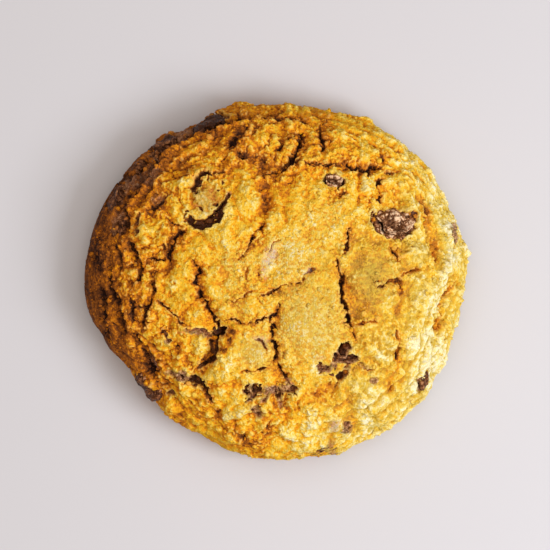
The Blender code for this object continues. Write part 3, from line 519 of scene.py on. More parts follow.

# Pale floury places, and painted highlights on the lit lips, ridges and right wall: x, y, reach, strength.
FLOURY_AND_HIGHLIT = (
    (37.0, -16.0, 5.0, 1.1),
    (41.0, -6.0, 3.0, 1.3),
    (42.0, 2.0, 2.0, 0.9),
    (30.4, -16.0, 2.0, 1.2),
    (33.0, -8.5, 2.4, 0.9),
    (34.5, -26.0, 2.4, 0.9),
    (23.5, -29.0, 3.4, 0.9),
    (23.0, -35.0, 2.6, 0.8),
    (38.0, -22.0, 3.0, 0.9),
    (43.0, 8.0, 2.4, 0.6),
    (35.4, 19.0, 1.2, 0.9),
    (7.4, 1.6, 1.3, 1.6),
    (0.7, 27.8, 1.2, 1.2),
    (-2.0, 4.4, 3.4, 0.7),
    (-23.3, 14.4, 1.5, 0.9),
    (-22.2, 24.6, 1.4, 0.8),
    (-12.2, -21.6, 1.6, 0.9),
    (-13.0, -30.6, 1.6, 0.9),
    (27.6, -6.0, 1.8, 0.8),
    (19.6, 1.4, 1.0, 0.8),
    (9.5, -20.5, 2.4, 0.5),
    (8.0, -36.0, 5.0, 0.9),
    (22.0, -27.0, 4.0, 0.6),
    (-25.0, 0.5, 3.6, 0.75),
    (-2.0, 41.4, 3.0, 0.3),
    (5.0, 41.6, 3.0, 0.3),
    (42.6, -4.0, 3.0, 1.0),
    (44.0, 6.0, 1.6, 0.8),
    (39.0, -8.0, 1.6, 0.6),
    (25.6, 17.6, 1.3, 0.8),
    (19.5, -17.5, 2.0, 0.4),
    (-28.0, 14.5, 2.2, 0.5),
    (-26.5, -8.0, 2.0, 0.5),
    (-20.5, -9.0, 1.8, 0.5),
    (-21.0, -16.5, 2.2, 0.6),
    (-8.0, 18.0, 2.4, 0.6),
    (-5.0, 13.0, 2.0, 0.4),
    (-31.0, -13.5, 1.6, 0.4),
    (10.0, 25.0, 2.4, 0.4),
    (15.0, 10.0, 2.0, 0.4),
    (33.0, 11.0, 2.0, 0.5),
    (26.0, -18.0, 3.0, 0.5),
    (28.0, 26.0, 2.4, 0.5),
    (21.0, 23.0, 2.4, 0.4),
    (-11.0, -34.0, 2.0, 0.4),
    (12.0, -34.0, 3.0, 0.6),
    (4.0, -38.5, 2.5, 0.5),
    (5.0, 9.0, 3.5, 0.4),
    (35.0, 2.6, 1.6, 1.0),
    (36.6, -3.0, 2.0, 1.1),
    (38.6, 12.0, 1.4, 0.9),
    (42.6, 14.0, 1.3, 0.6),
    (43.2, -2.0, 1.8, 0.7),
    (20.0, -25.5, 2.2, 0.8),
    (-12.5, -34.6, 1.4, 0.4),
    (-8.0, -35.0, 3.0, 0.35),
    (2.0, -36.0, 1.5, 0.6),
    (9.0, -33.0, 1.5, 0.7),
    (16.0, -34.8, 1.4, 0.7),
    (-4.0, -38.2, 1.5, 0.5),
    (10.0, -39.6, 1.6, 0.6),
    (21.0, -31.2, 1.4, 0.6),
    (35.0, 0.0, 3.0, 0.5),
    (37.4, -13.0, 1.2, 0.6),
)

# Veils of pale purple where chocolate shows through thin dough: x, y, length, width, turn, strength.
VEILS = (
    (-1.3, 6.0, 4.2, 1.7, 66, 0.95),
    (-2.6, 2.6, 2.2, 1.2, 80, 0.60),
    (-3.4, -14.2, 2.4, 0.9, -12, 0.5),
    (15.0, -35.6, 2.0, 1.3, 60, 0.5),
    (-21.6, -12.9, 3.4, 0.6, -8, 0.2),
    (25.4, 16.6, 1.6, 1.2, 60, 0.4),
    (7.9, 2.6, 1.3, 0.5, 40, 0.7),
    (17.2, -18.5, 1.0, 0.4, 20, 0.9),
    (15.6, -17.4, 0.5, 1.0, -20, 0.7),
    (11.0, -19.2, 1.6, 0.8, 20, 0.4),
    (-23.0, -23.6, 1.6, 0.8, 0, 0.2),
    (-0.6, -27.2, 1.8, 0.7, -20, 0.3),
    (-30.0, -21.6, 1.6, 0.5, -60, 0.3),
)

# Toasted places: x, y, reach, strength.
TOASTED = (
    (3.0, 20.0, 2.6, 0.9),
    (2.8, 26.2, 2.0, 0.8),
    (22.3, 19.7, 1.7, 1.1),
    (-10.9, -12.8, 1.3, 2.9),
    (-12.4, -16.9, 1.0, 4.0),
    (-11.4, -14.8, 0.8, 2.8),
    (-13.2, -21.4, 0.9, 1.6),
    (5.8, -20.8, 1.5, 0.9),
    (-23.5, 28.6, 3.2, 0.8),
    (-14.0, 32.5, 2.4, 0.6),
    (-21.2, -6.5, 1.7, 1.0),
    (20.0, -36.0, 1.7, 1.5),
    (28.8, -27.0, 1.5, 1.4),
    (31.2, -24.8, 1.3, 0.9),
    (31.3, -20.5, 1.5, 1.2),
    (28.0, -31.0, 1.5, 0.9),
    (26.5, 30.3, 1.1, 2.4),
    (-24.0, -16.2, 1.2, 1.8),
    (37.7, 15.4, 1.7, 1.2),
    (38.2, 17.4, 0.9, 2.6),
    (40.6, 9.0, 1.7, 0.9),
    (-32.0, 8.0, 4.0, 0.5),
    (-15.6, -25.0, 2.0, 0.9),
    (-7.0, 35.0, 4.0, 0.5),
    (34.0, -1.2, 2.4, 0.8),
    (7.5, 32.0, 2.2, 0.7),
    (24.0, 4.0, 4.2, 0.75),
    (22.0, -2.0, 3.4, 0.5),
    (20.6, 5.0, 2.4, 0.5),
    (20.6, -4.0, 2.0, 0.9),
    (25.5, -7.6, 3.0, 0.8),
    (30.6, -7.0, 1.5, 1.2),
    (46.3, 2.0, 2.0, 0.9),
    (45.6, -5.0, 2.4, 0.8),
    (43.6, -12.0, 2.4, 0.8),
    (-4.0, -40.6, 3.4, 0.8),
    (9.5, -42.6, 2.2, 1.6),
    (14.2, -40.6, 1.7, 1.5),
    (-18.3, -33.3, 1.2, 1.6),
    (-14.3, -32.0, 1.0, 1.4),
    (-14.3, -34.2, 1.0, 1.1),
    (-12.3, -36.2, 0.9, 1.2),
    (-12.5, -38.6, 1.0, 0.9),
    (-2.6, 29.2, 2.4, 0.9),
    (19.0, 32.0, 2.6, 0.6),
    (-9.4, 36.2, 1.6, 1.5),
    (-31.0, 24.5, 4.0, 0.9),
    (-34.0, -6.0, 2.2, 0.9),
    (-22.3, 9.3, 1.8, 0.8),
    (-18.5, 4.8, 1.8, 0.9),
    (-10.0, 31.0, 2.4, 0.5),
    (-26.5, 7.0, 2.0, 0.7),
    (-29.6, 18.6, 2.0, 1.0),
    (-29.0, -20.0, 2.2, 0.8),
    (-24.0, -17.0, 1.6, 0.8),
    (-36.0, 8.0, 2.2, 0.8),
    (1.5, 33.0, 2.5, 0.4),
    (16.5, 33.5, 3.0, 0.25),
    (12.0, 37.0, 2.5, 0.4),
    (29.0, 30.0, 2.5, 0.4),
    (26.5, 22.5, 1.6, 0.6),
    (17.0, 24.0, 1.8, 0.5),
    (25.5, 9.0, 2.0, 0.5),
    (28.0, 3.0, 2.2, 0.5),
    (22.0, -7.0, 2.0, 0.6),
    (3.0, -34.0, 2.2, 0.4),
    (-9.0, -38.0, 2.5, 0.7),
    (-2.0, -38.0, 2.0, 0.7),
    (6.0, -30.5, 2.0, 0.8),
    (24.5, -32.0, 1.5, 0.7),
    (33.0, -20.0, 1.5, 0.6),
    (21.8, 3.4, 1.3, 0.7),
    (25.5, 5.0, 1.2, 0.6),
    (22.4, -3.4, 1.2, 0.7),
    (26.4, -4.2, 1.3, 0.8),
    (24.0, 0.6, 1.0, 0.5),
    (20.8, -6.5, 1.0, 0.6),
    (27.5, 2.0, 1.0, 0.6),
    (5.0, -13.0, 1.2, 0.3),
    (11.0, -7.0, 1.4, 0.25),
    (9.0, -16.0, 1.2, 0.3),
    (-2.0, -35.0, 1.6, 0.7),
    (5.0, -37.4, 1.4, 0.6),
    (13.0, -33.5, 1.5, 0.7),
    (19.0, -33.0, 1.4, 0.6),
    (-6.0, -41.0, 1.4, 0.6),
    (1.0, -31.5, 1.3, 0.6),
    (30.0, -14.0, 1.2, 0.6),
    (38.6, -10.0, 1.1, 0.7),
    (36.0, -20.0, 1.1, 0.6),
    (39.4, -16.4, 1.0, 0.6),
    (14.0, 39.6, 3.0, 0.5),
    (20.0, 36.6, 2.6, 0.6),
    (25.5, 34.5, 1.8, 0.7),
    (30.5, 31.5, 1.6, 0.6),
    (34.6, 27.0, 1.5, 0.8),
    (37.6, 22.6, 1.4, 0.8),
    (33.0, 22.8, 1.5, 0.7),
    (40.6, 17.6, 1.2, 0.7),
    (32.0, 6.5, 1.4, 0.5),
    (-10.0, -36.0, 3.6, 0.05),
    (23.0, -6.0, 1.2, 0.9),
    (25.6, -8.6, 0.9, 0.8),
    (21.4, 6.6, 1.1, 0.5),
    (24.4, 2.0, 1.2, 0.5),
    (20.4, -1.0, 1.0, 0.5),
    (33.6, -29.6, 1.3, 0.6),
    (26.4, -34.4, 1.2, 0.6),
)

# Dull olive places: x, y, reach, strength.
DULLED = (
    (23.5, 0.5, 6.0, 0.62),
    (22.6, -5.0, 4.0, 0.20),
    (8.5, -10.0, 8.0, 0.10),
    (12.0, 15.0, 6.0, 0.14),
    (10.0, -27.0, 3.0, 0.10),
    (-17.0, 20.6, 2.6, 0.50),
    (-5.5, -17.5, 2.2, 0.35),
)

# Smooth pale plates of the crust: x, y, reach, strength.
PLATES = (
    (8.5, -11.0, 9.0, 1.0),
    (24.5, 1.0, 6.0, 0.7),
    (4.0, 6.0, 6.0, 0.8),
    (-5.0, -18.0, 4.2, 1.0),
    (-9.0, 4.0, 5.0, 0.5),
    (13.0, 15.0, 6.0, 0.4),
    (-10.0, -6.0, 4.0, 0.4),
)


def edge_radius(angle):
    """The edge's distance from the middle at each angle in radians."""
    across = np.hypot(HALF_WIDTH * np.cos(angle), HALF_LENGTH * np.sin(angle))
    radius = HALF_LENGTH * HALF_WIDTH / across
    for middle, spread, height in BULGES:
        apart = (np.degrees(angle) - middle + 180) % 360 - 180
        radius = radius + height * np.exp(-(apart / spread) ** 2)
    return radius


def lattice_key(cells):
    mixed = cells[..., 0] * 73856093 ^ cells[..., 1] * 19349663 ^ cells[..., 2] * 83492791
    return mixed & (len(LEANS) - 1)


def broad_noise(points, scale, shift=0.0):
    """The same slow noise as in the solid dough, so that their lumps agree."""
    return np.array([noise.noise(spot) for spot in (points / scale + shift).tolist()])


def soft_noise(points, scale, shift=0.0):
    """Smooth noise, mostly within -1 and 1, that changes over lengths of scale."""
    spot = points / scale + shift
    cell = np.floor(spot)
    part = spot - cell
    cell = cell.astype(np.int64)
    fade = part ** 3 * (part * (part * 6 - 15) + 10)
    total = np.zeros(len(points))
    for corner in itertools.product((0, 1), repeat=3):
        lean = LEANS[lattice_key(cell + corner)]
        weight = np.where(corner, fade, 1 - fade).prod(1)
        total += weight * (lean * (part - corner)).sum(1)
    return total * 1.6


def clumps(points, scale, shift=0.0):
    """Rounded clumps packed side by side: the height of each, its seams, and a tone of its own."""
    spot = points / scale + shift
    cell = np.floor(spot)
    part = spot - cell
    cell = cell.astype(np.int64)
    nearest = np.full(len(points), 9.0)
    second = np.full(len(points), 9.0)
    tone = np.zeros(len(points))
    for corner in itertools.product((-1, 0, 1), repeat=3):
        key = lattice_key(cell + corner)
        apart = ((MIDDLES[key] + corner - part) ** 2).sum(1)
        closer = apart < nearest
        second = np.where(closer, nearest, np.minimum(second, apart))
        nearest = np.where(closer, apart, nearest)
        tone = np.where(closer, TONES[key], tone)
    nearest, second = np.sqrt(nearest), np.sqrt(second)
    seam = np.clip((second - nearest) / 0.3, 0, 1)
    height = 0.55 * (1 - 2.2 * nearest * nearest) + 0.45 * seam
    return height, seam, tone


def smooth_step(low, high, value):
    t = np.clip((value - low) / (high - low), 0, 1)
    return t * t * (3 - 2 * t)


def cookie_profile():
    """Half of the cookie's upright section, from the top's middle down to the base's middle."""
    shares = 1 - np.linspace(1, 0, 500) ** 2
    levels = WAIST_HEIGHT + DOME_RISE * np.sqrt(1 - shares ** DOME_POWER)
    turn = np.linspace(0, math.pi / 2, 60)[1:]
    under = BASE_SHARE + (1 - BASE_SHARE) * np.cos(turn)
    base = np.linspace(BASE_SHARE, 0, 200)[1:]
    shares = np.concatenate([shares, under, base])
    levels = np.concatenate([levels, WAIST_HEIGHT * (1 - np.sin(turn)), 0 * base])
    return shares, levels


def spread_over_cookie(directions):
    """Places points of a ball on the plain cookie, closely on the crust and widely on its base.

    It also gives how far each point lies down the slope from the top's middle."""
    shares, levels = cookie_profile()
    radii = shares * 0.5 * (HALF_LENGTH + HALF_WIDTH)
    steps = np.hypot(np.diff(radii), np.diff(levels))
    walked = np.concatenate([[0], np.cumsum(steps)])
    weight = np.where(levels[1:] > 0.05, 1.0, 0.2)
    areas = np.concatenate([[0], np.cumsum(steps * (radii[1:] + radii[:-1]) * weight)])
    place = (1 - directions[:, 2]) / 2
    along = np.interp(place, areas / areas[-1], np.arange(len(shares)))
    share = np.interp(along, np.arange(len(shares)), shares)
    level = np.interp(along, np.arange(len(shares)), levels)
    down = np.interp(along, np.arange(len(shares)), walked)
    angle = np.arctan2(directions[:, 1], directions[:, 0])
    radius = share * edge_radius(angle)
    return np.stack([radius * np.cos(angle), radius * np.sin(angle), level], axis=1), down


def to_route(points, route):
    """Distance of each point from a route, its side (+1 left, -1 right) and its place along it."""
    corners = np.array(route, float)
    lengths = np.linalg.norm(np.diff(corners, axis=0), axis=1)
    walked = np.concatenate([[0], np.cumsum(lengths)])
    nearest = np.full(len(points), 1e9)
    side = np.zeros(len(points))
    place = np.zeros(len(points))
    for k, length in enumerate(lengths):
        step = (corners[k + 1] - corners[k]) / length
        offset = points - corners[k]
        t = np.clip(offset @ step, 0, length)
        apart = offset - t[:, None] * step
        distance = np.hypot(apart[:, 0], apart[:, 1])
        closer = distance < nearest
        nearest[closer] = distance[closer]
        cross = step[0] * offset[:, 1] - step[1] * offset[:, 0]
        side[closer] = np.sign(cross[closer])
        place[closer] = (walked[k] + t)[closer]
    return nearest, side, place, walked[-1]


def in_oval(points, oval):
    """1 at an oval's edge, 0 at its middle, growing outwards."""
    x, y, half_length, half_width, turn = oval
    cosine, sine = math.cos(math.radians(turn)), math.sin(math.radians(turn))
    dx, dy = points[:, 0] - x, points[:, 1] - y
    return np.hypot((dx * cosine + dy * sine) / half_length, (dy * cosine - dx * sine) / half_width)


def spots(points, marks):
    total = np.zeros(len(points))
    for x, y, reach, strength in marks:
        apart = (points[:, 0] - x) ** 2 + (points[:, 1] - y) ** 2
        total += strength * np.exp(-apart / (reach * reach))
    return total


def cut_cracks(plan, ragged, swell):
    """Depth of the cracks, the step of their sides, and how near each point is to a crack."""
    depth = np.zeros(len(plan))
    step = np.zeros(len(plan))
    near = np.full(len(plan), 4.0)
    for width, deepest, rise, route in CRACKS:
        corners = np.array(route, float)
        close = np.flatnonzero(((plan > corners.min(0) - 4.5) & (plan < corners.max(0) + 4.5)).all(1))
        distance, side, place, whole = to_route(plan[close], route)
        taper = np.clip(0.3 + np.minimum(place, whole - place) / 1.6, 0.3, 1)
        uneven = np.clip(1 + 0.8 * swell[close], 0.35, 1.8)
        half = 0.45 * width * taper * uneven
        torn = distance + ragged[close]
        slit = deepest * taper * np.clip(uneven, 0.5, 1.1) * (1 - smooth_step(0.3, 1.35, torn / half))
        slope = 0.26 * deepest * taper * np.exp(-(distance / (1.0 + half)) ** 2)
        depth[close] = np.maximum(depth[close], np.maximum(slit, slope))
        near[close] = np.minimum(near[close], torn - half)
        step[close] += 0.5 * rise * side * taper * np.exp(-(distance / 2.0) ** 2)
    return depth, step, near


def sink_valleys(plan):
    """Depth of the open valleys, and how far their floors are darkened, partly by browning and partly as painted
    shade.
    """
    sag = np.zeros(len(plan))
    browned_and_shaded = np.zeros(len(plan))
    for half, deepest, tone, route in VALLEYS:
        corners = np.array(route, float)
        close = np.flatnonzero(((plan > corners.min(0) - 6) & (plan < corners.max(0) + 6)).all(1))
        distance, _, place, whole = to_route(plan[close], route)
        taper = np.clip(0.2 + np.minimum(place, whole - place) / 2.5, 0.2, 1)
        fall = taper * np.exp(-(distance / half) ** 2)
        sag[close] = np.maximum(sag[close], deepest * fall)
        browned_and_shaded[close] = np.maximum(browned_and_shaded[close], tone * fall)
    return sag, browned_and_shaded


def raise_ridges(plan):
    """Height of the long ridges."""
    height = np.zeros(len(plan))
    for half, most, route in RIDGES:
        corners = np.array(route, float)
        close = np.flatnonzero(((plan > corners.min(0) - 6) & (plan < corners.max(0) + 6)).all(1))
        distance, _, place, whole = to_route(plan[close], route)
        taper = np.clip(0.1 + np.minimum(place, whole - place) / 3.0, 0.1, 1)
        height[close] = np.maximum(height[close], most * taper * np.exp(-(distance / half) ** 2))
    return height


def cut_trenches(plan, ragged):
    """Depth of the trenches that show chocolate."""
    depth = np.zeros(len(plan))
    for half, deepest, route in TRENCHES:
        corners = np.array(route, float)
        close = np.flatnonzero(((plan > corners.min(0) - 4) & (plan < corners.max(0) + 4)).all(1))
        if not len(close):
            continue
        distance, _, place, whole = to_route(plan[close], route)
        taper = np.clip(0.35 + np.minimum(place, whole - place) / 3.0, 0.35, 1)
        wide = half * taper
        sunk = deepest * taper * (1 - smooth_step(0.55, 1.15, (distance + 0.7 * ragged[close]) / wide))
        depth[close] = np.maximum(depth[close], sunk)
    return depth


def wall_folds(points, down, angle):
    """Folds that follow the edge down the wall: their height, and their creases, which the colours darken as
    painted shade.
    """
    shares, levels = cookie_profile()
    radii = shares * 0.5 * (HALF_LENGTH + HALF_WIDTH)
    walked = np.concatenate([[0], np.cumsum(np.hypot(np.diff(radii), np.diff(levels)))])
    first = walked[np.argmax(shares > FIRST_FOLD_SHARE)]
    lean = 1.4 * soft_noise(points, 10.0, 51.0) + 0.6 * soft_noise(points, 3.4, 57.0)
    ridge = np.abs(np.sin(np.pi * (down - first + lean) / FOLD_SPACING))
    strength = np.full(len(points), 0.12)
    for middle, spread, height in FOLDED:
        apart = (np.degrees(angle) - middle + 180) % 360 - 180
        strength += height * np.exp(-(apart / spread) ** 2)
    strength *= smooth_step(-2.5, 1.5, down - first)
    strength *= np.clip(0.75 + 0.9 * soft_noise(points, 6.0, 63.0), 0.15, 1.25)
    return strength * (0.95 * ridge ** 0.6 - 0.6), strength * np.exp(-(ridge / 0.25) ** 2)


def along_the_edge(points, down, angle, share):
    """Places unrolled along the edge and drawn out sideways, and how far each point belongs there."""
    left_half = np.cos(angle) < 0
    turn = np.where(left_half, angle % (2 * np.pi) - np.pi, angle)
    drawn = np.stack([down, 20.0 * turn + 200 * left_half, 0 * down], axis=1)
    belonging = smooth_step(0.74, 0.86, share) * smooth_step(0.1, 0.5, np.abs(np.cos(angle)))
    return drawn, belonging


def crust_relief(points, down):
    """How far the crust stands over the plain cookie, with the marks that its colours follow."""
    radius = np.hypot(points[:, 0], points[:, 1])
    angle = np.arctan2(points[:, 1], points[:, 0])
    share = np.clip(radius / edge_radius(angle), 0, 1)
    upper = smooth_step(WAIST_HEIGHT - 5.0, WAIST_HEIGHT + 1.0, points[:, 2])

    broad = spots(points, SWELLINGS) + 0.9 * broad_noise(points, 6.5) + 0.5 * broad_noise(points, 3.1)
    broad += 0.65 * np.clip((share - 0.78) / 0.14, 0, 1) * broad_noise(points, 9.0)
    broad *= 1 - share ** 30
    folds, creases = wall_folds(points, down, angle)

    bend = np.stack([soft_noise(points, 1.6, 3.0), soft_noise(points, 1.6, 11.0)], axis=1)
    fine_bend = np.stack([soft_noise(points, 0.7, 5.0), soft_noise(points, 0.7, 17.0)], axis=1)
    plan = points[:, :2] + 0.5 * bend + 0.25 * fine_bend
    bent = points + 0.6 * np.column_stack([bend, bend[:, 0] - bend[:, 1]])
    bent = bent + 0.45 * np.column_stack([fine_bend, fine_bend[:, 0] - fine_bend[:, 1]])
    plate, plate_seam, plate_tone = clumps(bent, 7.5, 71.0)
    mid, mid_seam, mid_tone = clumps(bent, 2.0, 5.0)
    small, small_seam, small_tone = clumps(points, 0.8, 9.0)
    wide = np.abs(soft_noise(bent, 5.2, 81.0))
    puffs = np.abs(soft_noise(bent, 2.6, 83.0))
    knobs = np.abs(soft_noise(bent, 1.3, 87.0))
    drawn, belonging = along_the_edge(points, down, angle, share)
    drawn[:, :2] += 0.8 * bend
    wide += belonging * (np.abs(soft_noise(drawn, 3.6, 91.0)) - wide)
    puffs += belonging * (np.abs(soft_noise(drawn, 1.9, 93.0)) - puffs)
    fold_lines = np.exp(-(wide / 0.09) ** 2) + 0.7 * np.exp(-(puffs / 0.10) ** 2)

    plates = np.clip(spots(points, PLATES), 0, 1)
    wall = smooth_step(0.86, 0.99, share)
    left = smooth_step(0.70, 0.92, np.cos(angle - math.radians(172)))
    rough = (1 - 0.82 * plates) * (0.75 + 0.5 * smooth_step(0.45, 0.75, share))
    sheltered = smooth_step(0.2, 0.8, np.cos(angle - math.radians(225))) * smooth_step(0.86, 0.97, share)
    rough *= 1 - 0.25 * sheltered
    rough *= (1 - wall * (0.22 + 0.58 * left)) * (1 - 0.5 * left * smooth_step(0.80, 0.92, share))
    cloud = soft_noise(points, 1.3, 31.0)
    lumps = 2.0 * (wide - 0.25) + 0.85 * (puffs - 0.25) + 0.20 * (knobs - 0.25)
    flake = (plate_tone - 0.5) * smooth_step(0.0, 0.5, plate_seam)
    grain = rough * (lumps + 0.7 * flake + 0.16 * (mid - 0.5) + 0.10 * cloud)
    grain += (0.45 + 0.55 * rough) * (0.10 * (small - 0.5) + 0.07 * soft_noise(points, 0.6, 37.0))
    lost = 0.3 * rough * (mid_tone > 0.95) * np.clip(mid, 0, 1)
    lost += (0.12 + 0.12 * rough) * (small_tone > 0.95) * np.clip(small, 0, 1)
    grain -= lost

    ragged = 0.25 * (mid_tone - 0.5) + 0.25 * (small_tone - 0.5)
    above = smooth_step(2.5, 4.0, points[:, 2])
    depth, step, near = cut_cracks(plan, ragged, soft_noise(points, 2.6, 43.0))
    sag, browned_and_shaded = sink_valleys(plan)
    sag -= raise_ridges(plan)
    trench = cut_trenches(plan, ragged)
    near = np.where(points[:, 2] > 3.0, near, 4.0)

    hair = 1 - smooth_step(0.06, 0.26, plate_seam + 0.12 * (small_tone - 0.5))
    hair *= smooth_step(0.05, 0.45, soft_noise(points, 5.0, 77.0)) * (1 - 0.9 * plates)

    opened = np.zeros(len(points))
    smear = np.zeros(len(points))
    uneven = 0.5 * (mid_tone - 0.5) + 0.3 * (small_tone - 0.5) + 0.25 * cloud
    for *oval, deep in OPENINGS:
        size = min(oval[2], oval[3])
        ring = in_oval(plan, oval) + uneven / max(size, 1.0)
        opened = np.maximum(opened, deep * (1 - smooth_step(0.8, 1.1, ring)))
    blush = np.zeros(len(points))
    for *oval, strength in BLUSHES:
        blush = np.maximum(blush, strength * (1 - smooth_step(0.4, 1.25, in_oval(plan, oval) + 0.5 * uneven)))
    for *oval, strength in SMEARS:
        smear = np.maximum(smear, strength * (1 - smooth_step(0.5, 1.2, in_oval(plan, oval) + 0.4 * uneven)))

    hair *= 0.4 + 0.6 * np.exp(-np.clip(near, 0, 4) / 1.5)
    opened = np.maximum(opened, 1.2 * np.clip(trench, 0, 1))
    lowered = above * np.maximum(depth, np.maximum(np.maximum(opened, trench), 0.5 * hair))
    veil = np.zeros(len(points))
    for *oval, strength in VEILS:
        veil = np.maximum(veil, strength * (1 - smooth_step(0.3, 1.3, in_oval(plan, oval) + 0.6 * uneven)))
    relief = upper * (broad + step + folds) - above * sag - lowered + (0.3 + 0.7 * upper) * grain
    return {
        "relief": relief,
        "sunk": np.clip(lowered / 2.0, 0, 1),
        "near": near,
        "opened": above * np.clip(opened / 1.2, 0, 1),
        "smear": above * smear,
        "veil": veil,
        "blush": blush,
        "browned_and_shaded": above * browned_and_shaded,
        "plates": plates,
        "share": share,
        "creases": creases,
        "tone": rough * (0.5 * (plate_tone - 0.5) + 0.15 * (mid_tone - 0.5)) + plates * (0.5 * (mid_tone - 0.5) + 0.2 * (small_tone - 0.5))
        + 0.12 * (small_tone - 0.5),
        "seams": rough * (fold_lines + 0.15 * (1 - mid_seam)) + 0.10 * (1 - small_seam) + lost,
        "angle": angle,
    }


def deselect():
    bpy.ops.object.select_all(action="DESELECT")


def activate(piece):
    deselect()
    piece.select_set(True)
    bpy.context.view_layer.objects.active = piece


def apply_all(piece):
    activate(piece)
    for modifier in list(piece.modifiers):
        bpy.ops.object.modifier_apply(modifier=modifier.name)


def corners_of(mesh):
    corners = np.empty(len(mesh.vertices) * 3, np.float32)
    mesh.vertices.foreach_get("co", corners)
    return corners.reshape(-1, 3).astype(float)


def normals_of(mesh):
    normals = np.empty(len(mesh.vertices) * 3, np.float32)
    mesh.vertex_normals.foreach_get("vector", normals)
    return normals.reshape(-1, 3).astype(float)


def set_corners(mesh, corners):
    mesh.vertices.foreach_set("co", np.asarray(corners, np.float32).ravel())
    mesh.update()


def set_mark(mesh, name, values):
    mark = mesh.attributes.new(name, "FLOAT", "POINT")
    mark.data.foreach_set("value", np.asarray(values, np.float32))


def smoothed(mesh, values, rounds):
    """Averages values over each point's neighbours, a few times over."""
    ends = np.empty(len(mesh.edges) * 2, np.int32)
    mesh.edges.foreach_get("vertices", ends)
    ends = ends.reshape(-1, 2)
    count = len(values)
    joins = np.bincount(ends.ravel(), minlength=count).clip(1)
    for _ in range(rounds):
        total = np.bincount(ends[:, 0], values[ends[:, 1]], count)
        total += np.bincount(ends[:, 1], values[ends[:, 0]], count)
        values = 0.5 * values + 0.5 * total / joins
    return values


# How each chunk of chocolate lies and looks: how far it is sunk in millimetres, and its bloom.
SINKING = {
    "chocolate_right": (0.0, 1.85),
    "chocolate_small_top": (0.2, 1.9),
    "chocolate_upper_left": (1.3, 0.30),
    "chocolate_left_hole": (1.6, 0.15),
    "chocolate_left_low": (1.4, 0.2),
    "chocolate_lower_right": (1.2, 0.30),
    "chocolate_lower_middle": (1.0, 0.5),
    "chocolate_bottom_right": (1.1, 0.5),
    "chocolate_bottom_left": (1.1, 0.3),
    "chocolate_wall_left": (0.4, 0.4),
    "chocolate_rim_left": (0.0, 0.50),
    "chocolate_rim_upper": (0.2, 0.45),
    "chocolate_rim_top_left": (0.1, 0.45),
    "chocolate_rim_top": (0.0, 0.15),
    "chocolate_rim_low_left": (-1.1, 0.7),
    "chocolate_wall_right": (0.7, 0.9),
    "chocolate_wall_low_right": (0.7, 0.6),
    "chocolate_wall_low": (0.7, 0.7),
    "chocolate_rim_bottom": (1.1, 0.4),
}

BALL_LEVEL = 9
MOST_TRIANGLES = 196000


# The side that faces the window light, towards the lower right: its lows are painted less brown and are given dull
# painted shade instead.
def lit_side(angle):
    return smooth_step(0.72, 0.93, 0.5 + 0.5 * np.cos(angle + math.radians(18)))


def browning_and_painted_shade(form, plain, hollow, fine):
    """How brown each place is drawn: 0 pale yellow, 0.5 golden, 1 brown, over 1.2 nearly black. It holds the
    crust's own browning and toast, and painted shade and light as well: darker on the side away from the window
    light and in the lows, creases, cracks and valleys, paler on the side facing the light.
    """
    x, y = plain[:, 0], plain[:, 1]
    rim = smooth_step(0.70, 0.97, form["share"])
    left = 0.5 + 0.5 * np.cos(form["angle"] - math.radians(165))
    relief = form["relief"]
    # Partly toast and partly painted shade and light: darker towards the top and the left, away from the window
    # light, paler towards the right, which faces it.
    brown = 0.24 + 0.10 * smooth_step(14, 34, y) * smooth_step(25, 5, x) + 0.06 * smooth_step(12, 30, -x)
    brown += 0.16 * smooth_step(24, 40, -x) - 0.11 * smooth_step(24, 38, x)
    # Painted shade and light on the rim: dark brown on its side away from the light, paler on its lit side, and
    # darker again at the foot of the left wall.
    brown += rim * (0.64 * left ** 2.2 - 0.06) - 0.16 * rim * smooth_step(0.5, 0.1, left)
    brown += 0.15 * (0.8 * left) * smooth_step(0.965, 0.998, form["share"])
    brown += 0.26 * spots(plain, TOASTED)
    # The crust's own random tone, and painted shade in the creases of the wall folds.
    brown += 0.28 * form["tone"] + 0.26 * np.clip(form["creases"], 0, 1)
    # Painted shade: hollows, low places and seams are drawn browner, less so on the lit side and on the shaded rim.
    lows = 0.14 * np.clip(-hollow / 0.45, -0.8, 1.5) + 0.09 * np.clip(-fine / 0.15, -0.7, 1)
    lows += 0.10 * np.clip(-relief, -1.2, 1.5) + 0.13 * form["seams"]
    brown += lows * (1 - 0.35 * lit_side(form["angle"]) - 0.45 * rim * left ** 2.2)
    # Painted shade in and beside the cracks and in the sunk places, darkest where deepest; the wider brown along
    # the cracks is partly browning of their slopes and partly painted shade.
    brown += 0.16 * np.exp(-np.clip(form["near"], 0, 4) / 0.4) + 0.60 * form["sunk"]
    brown += 0.13 * np.exp(-np.clip(form["near"], 0, 4) / 1.1)
    # Valley floors darkened, partly browning and partly painted shade; the floury places and painted highlights
    # make it paler.
    brown += form["browned_and_shaded"] - 0.24 * spots(plain, FLOURY_AND_HIGHLIT)
    return brown


def painted_shade_and_olive(form, plain, hollow, fine):
    """How far places are drawn towards a dull olive: painted shade in the lows and seams of the lit side, and the
    dough's own olive places.
    """
    shade_and_olive = 0.6 * np.clip(-hollow / 0.45, 0, 1.5) + 0.35 * np.clip(-fine / 0.15, 0, 1) + 0.4 * form["seams"]
    return shade_and_olive * lit_side(form["angle"]) + spots(plain, DULLED) * (1 + 3.0 * form["tone"])


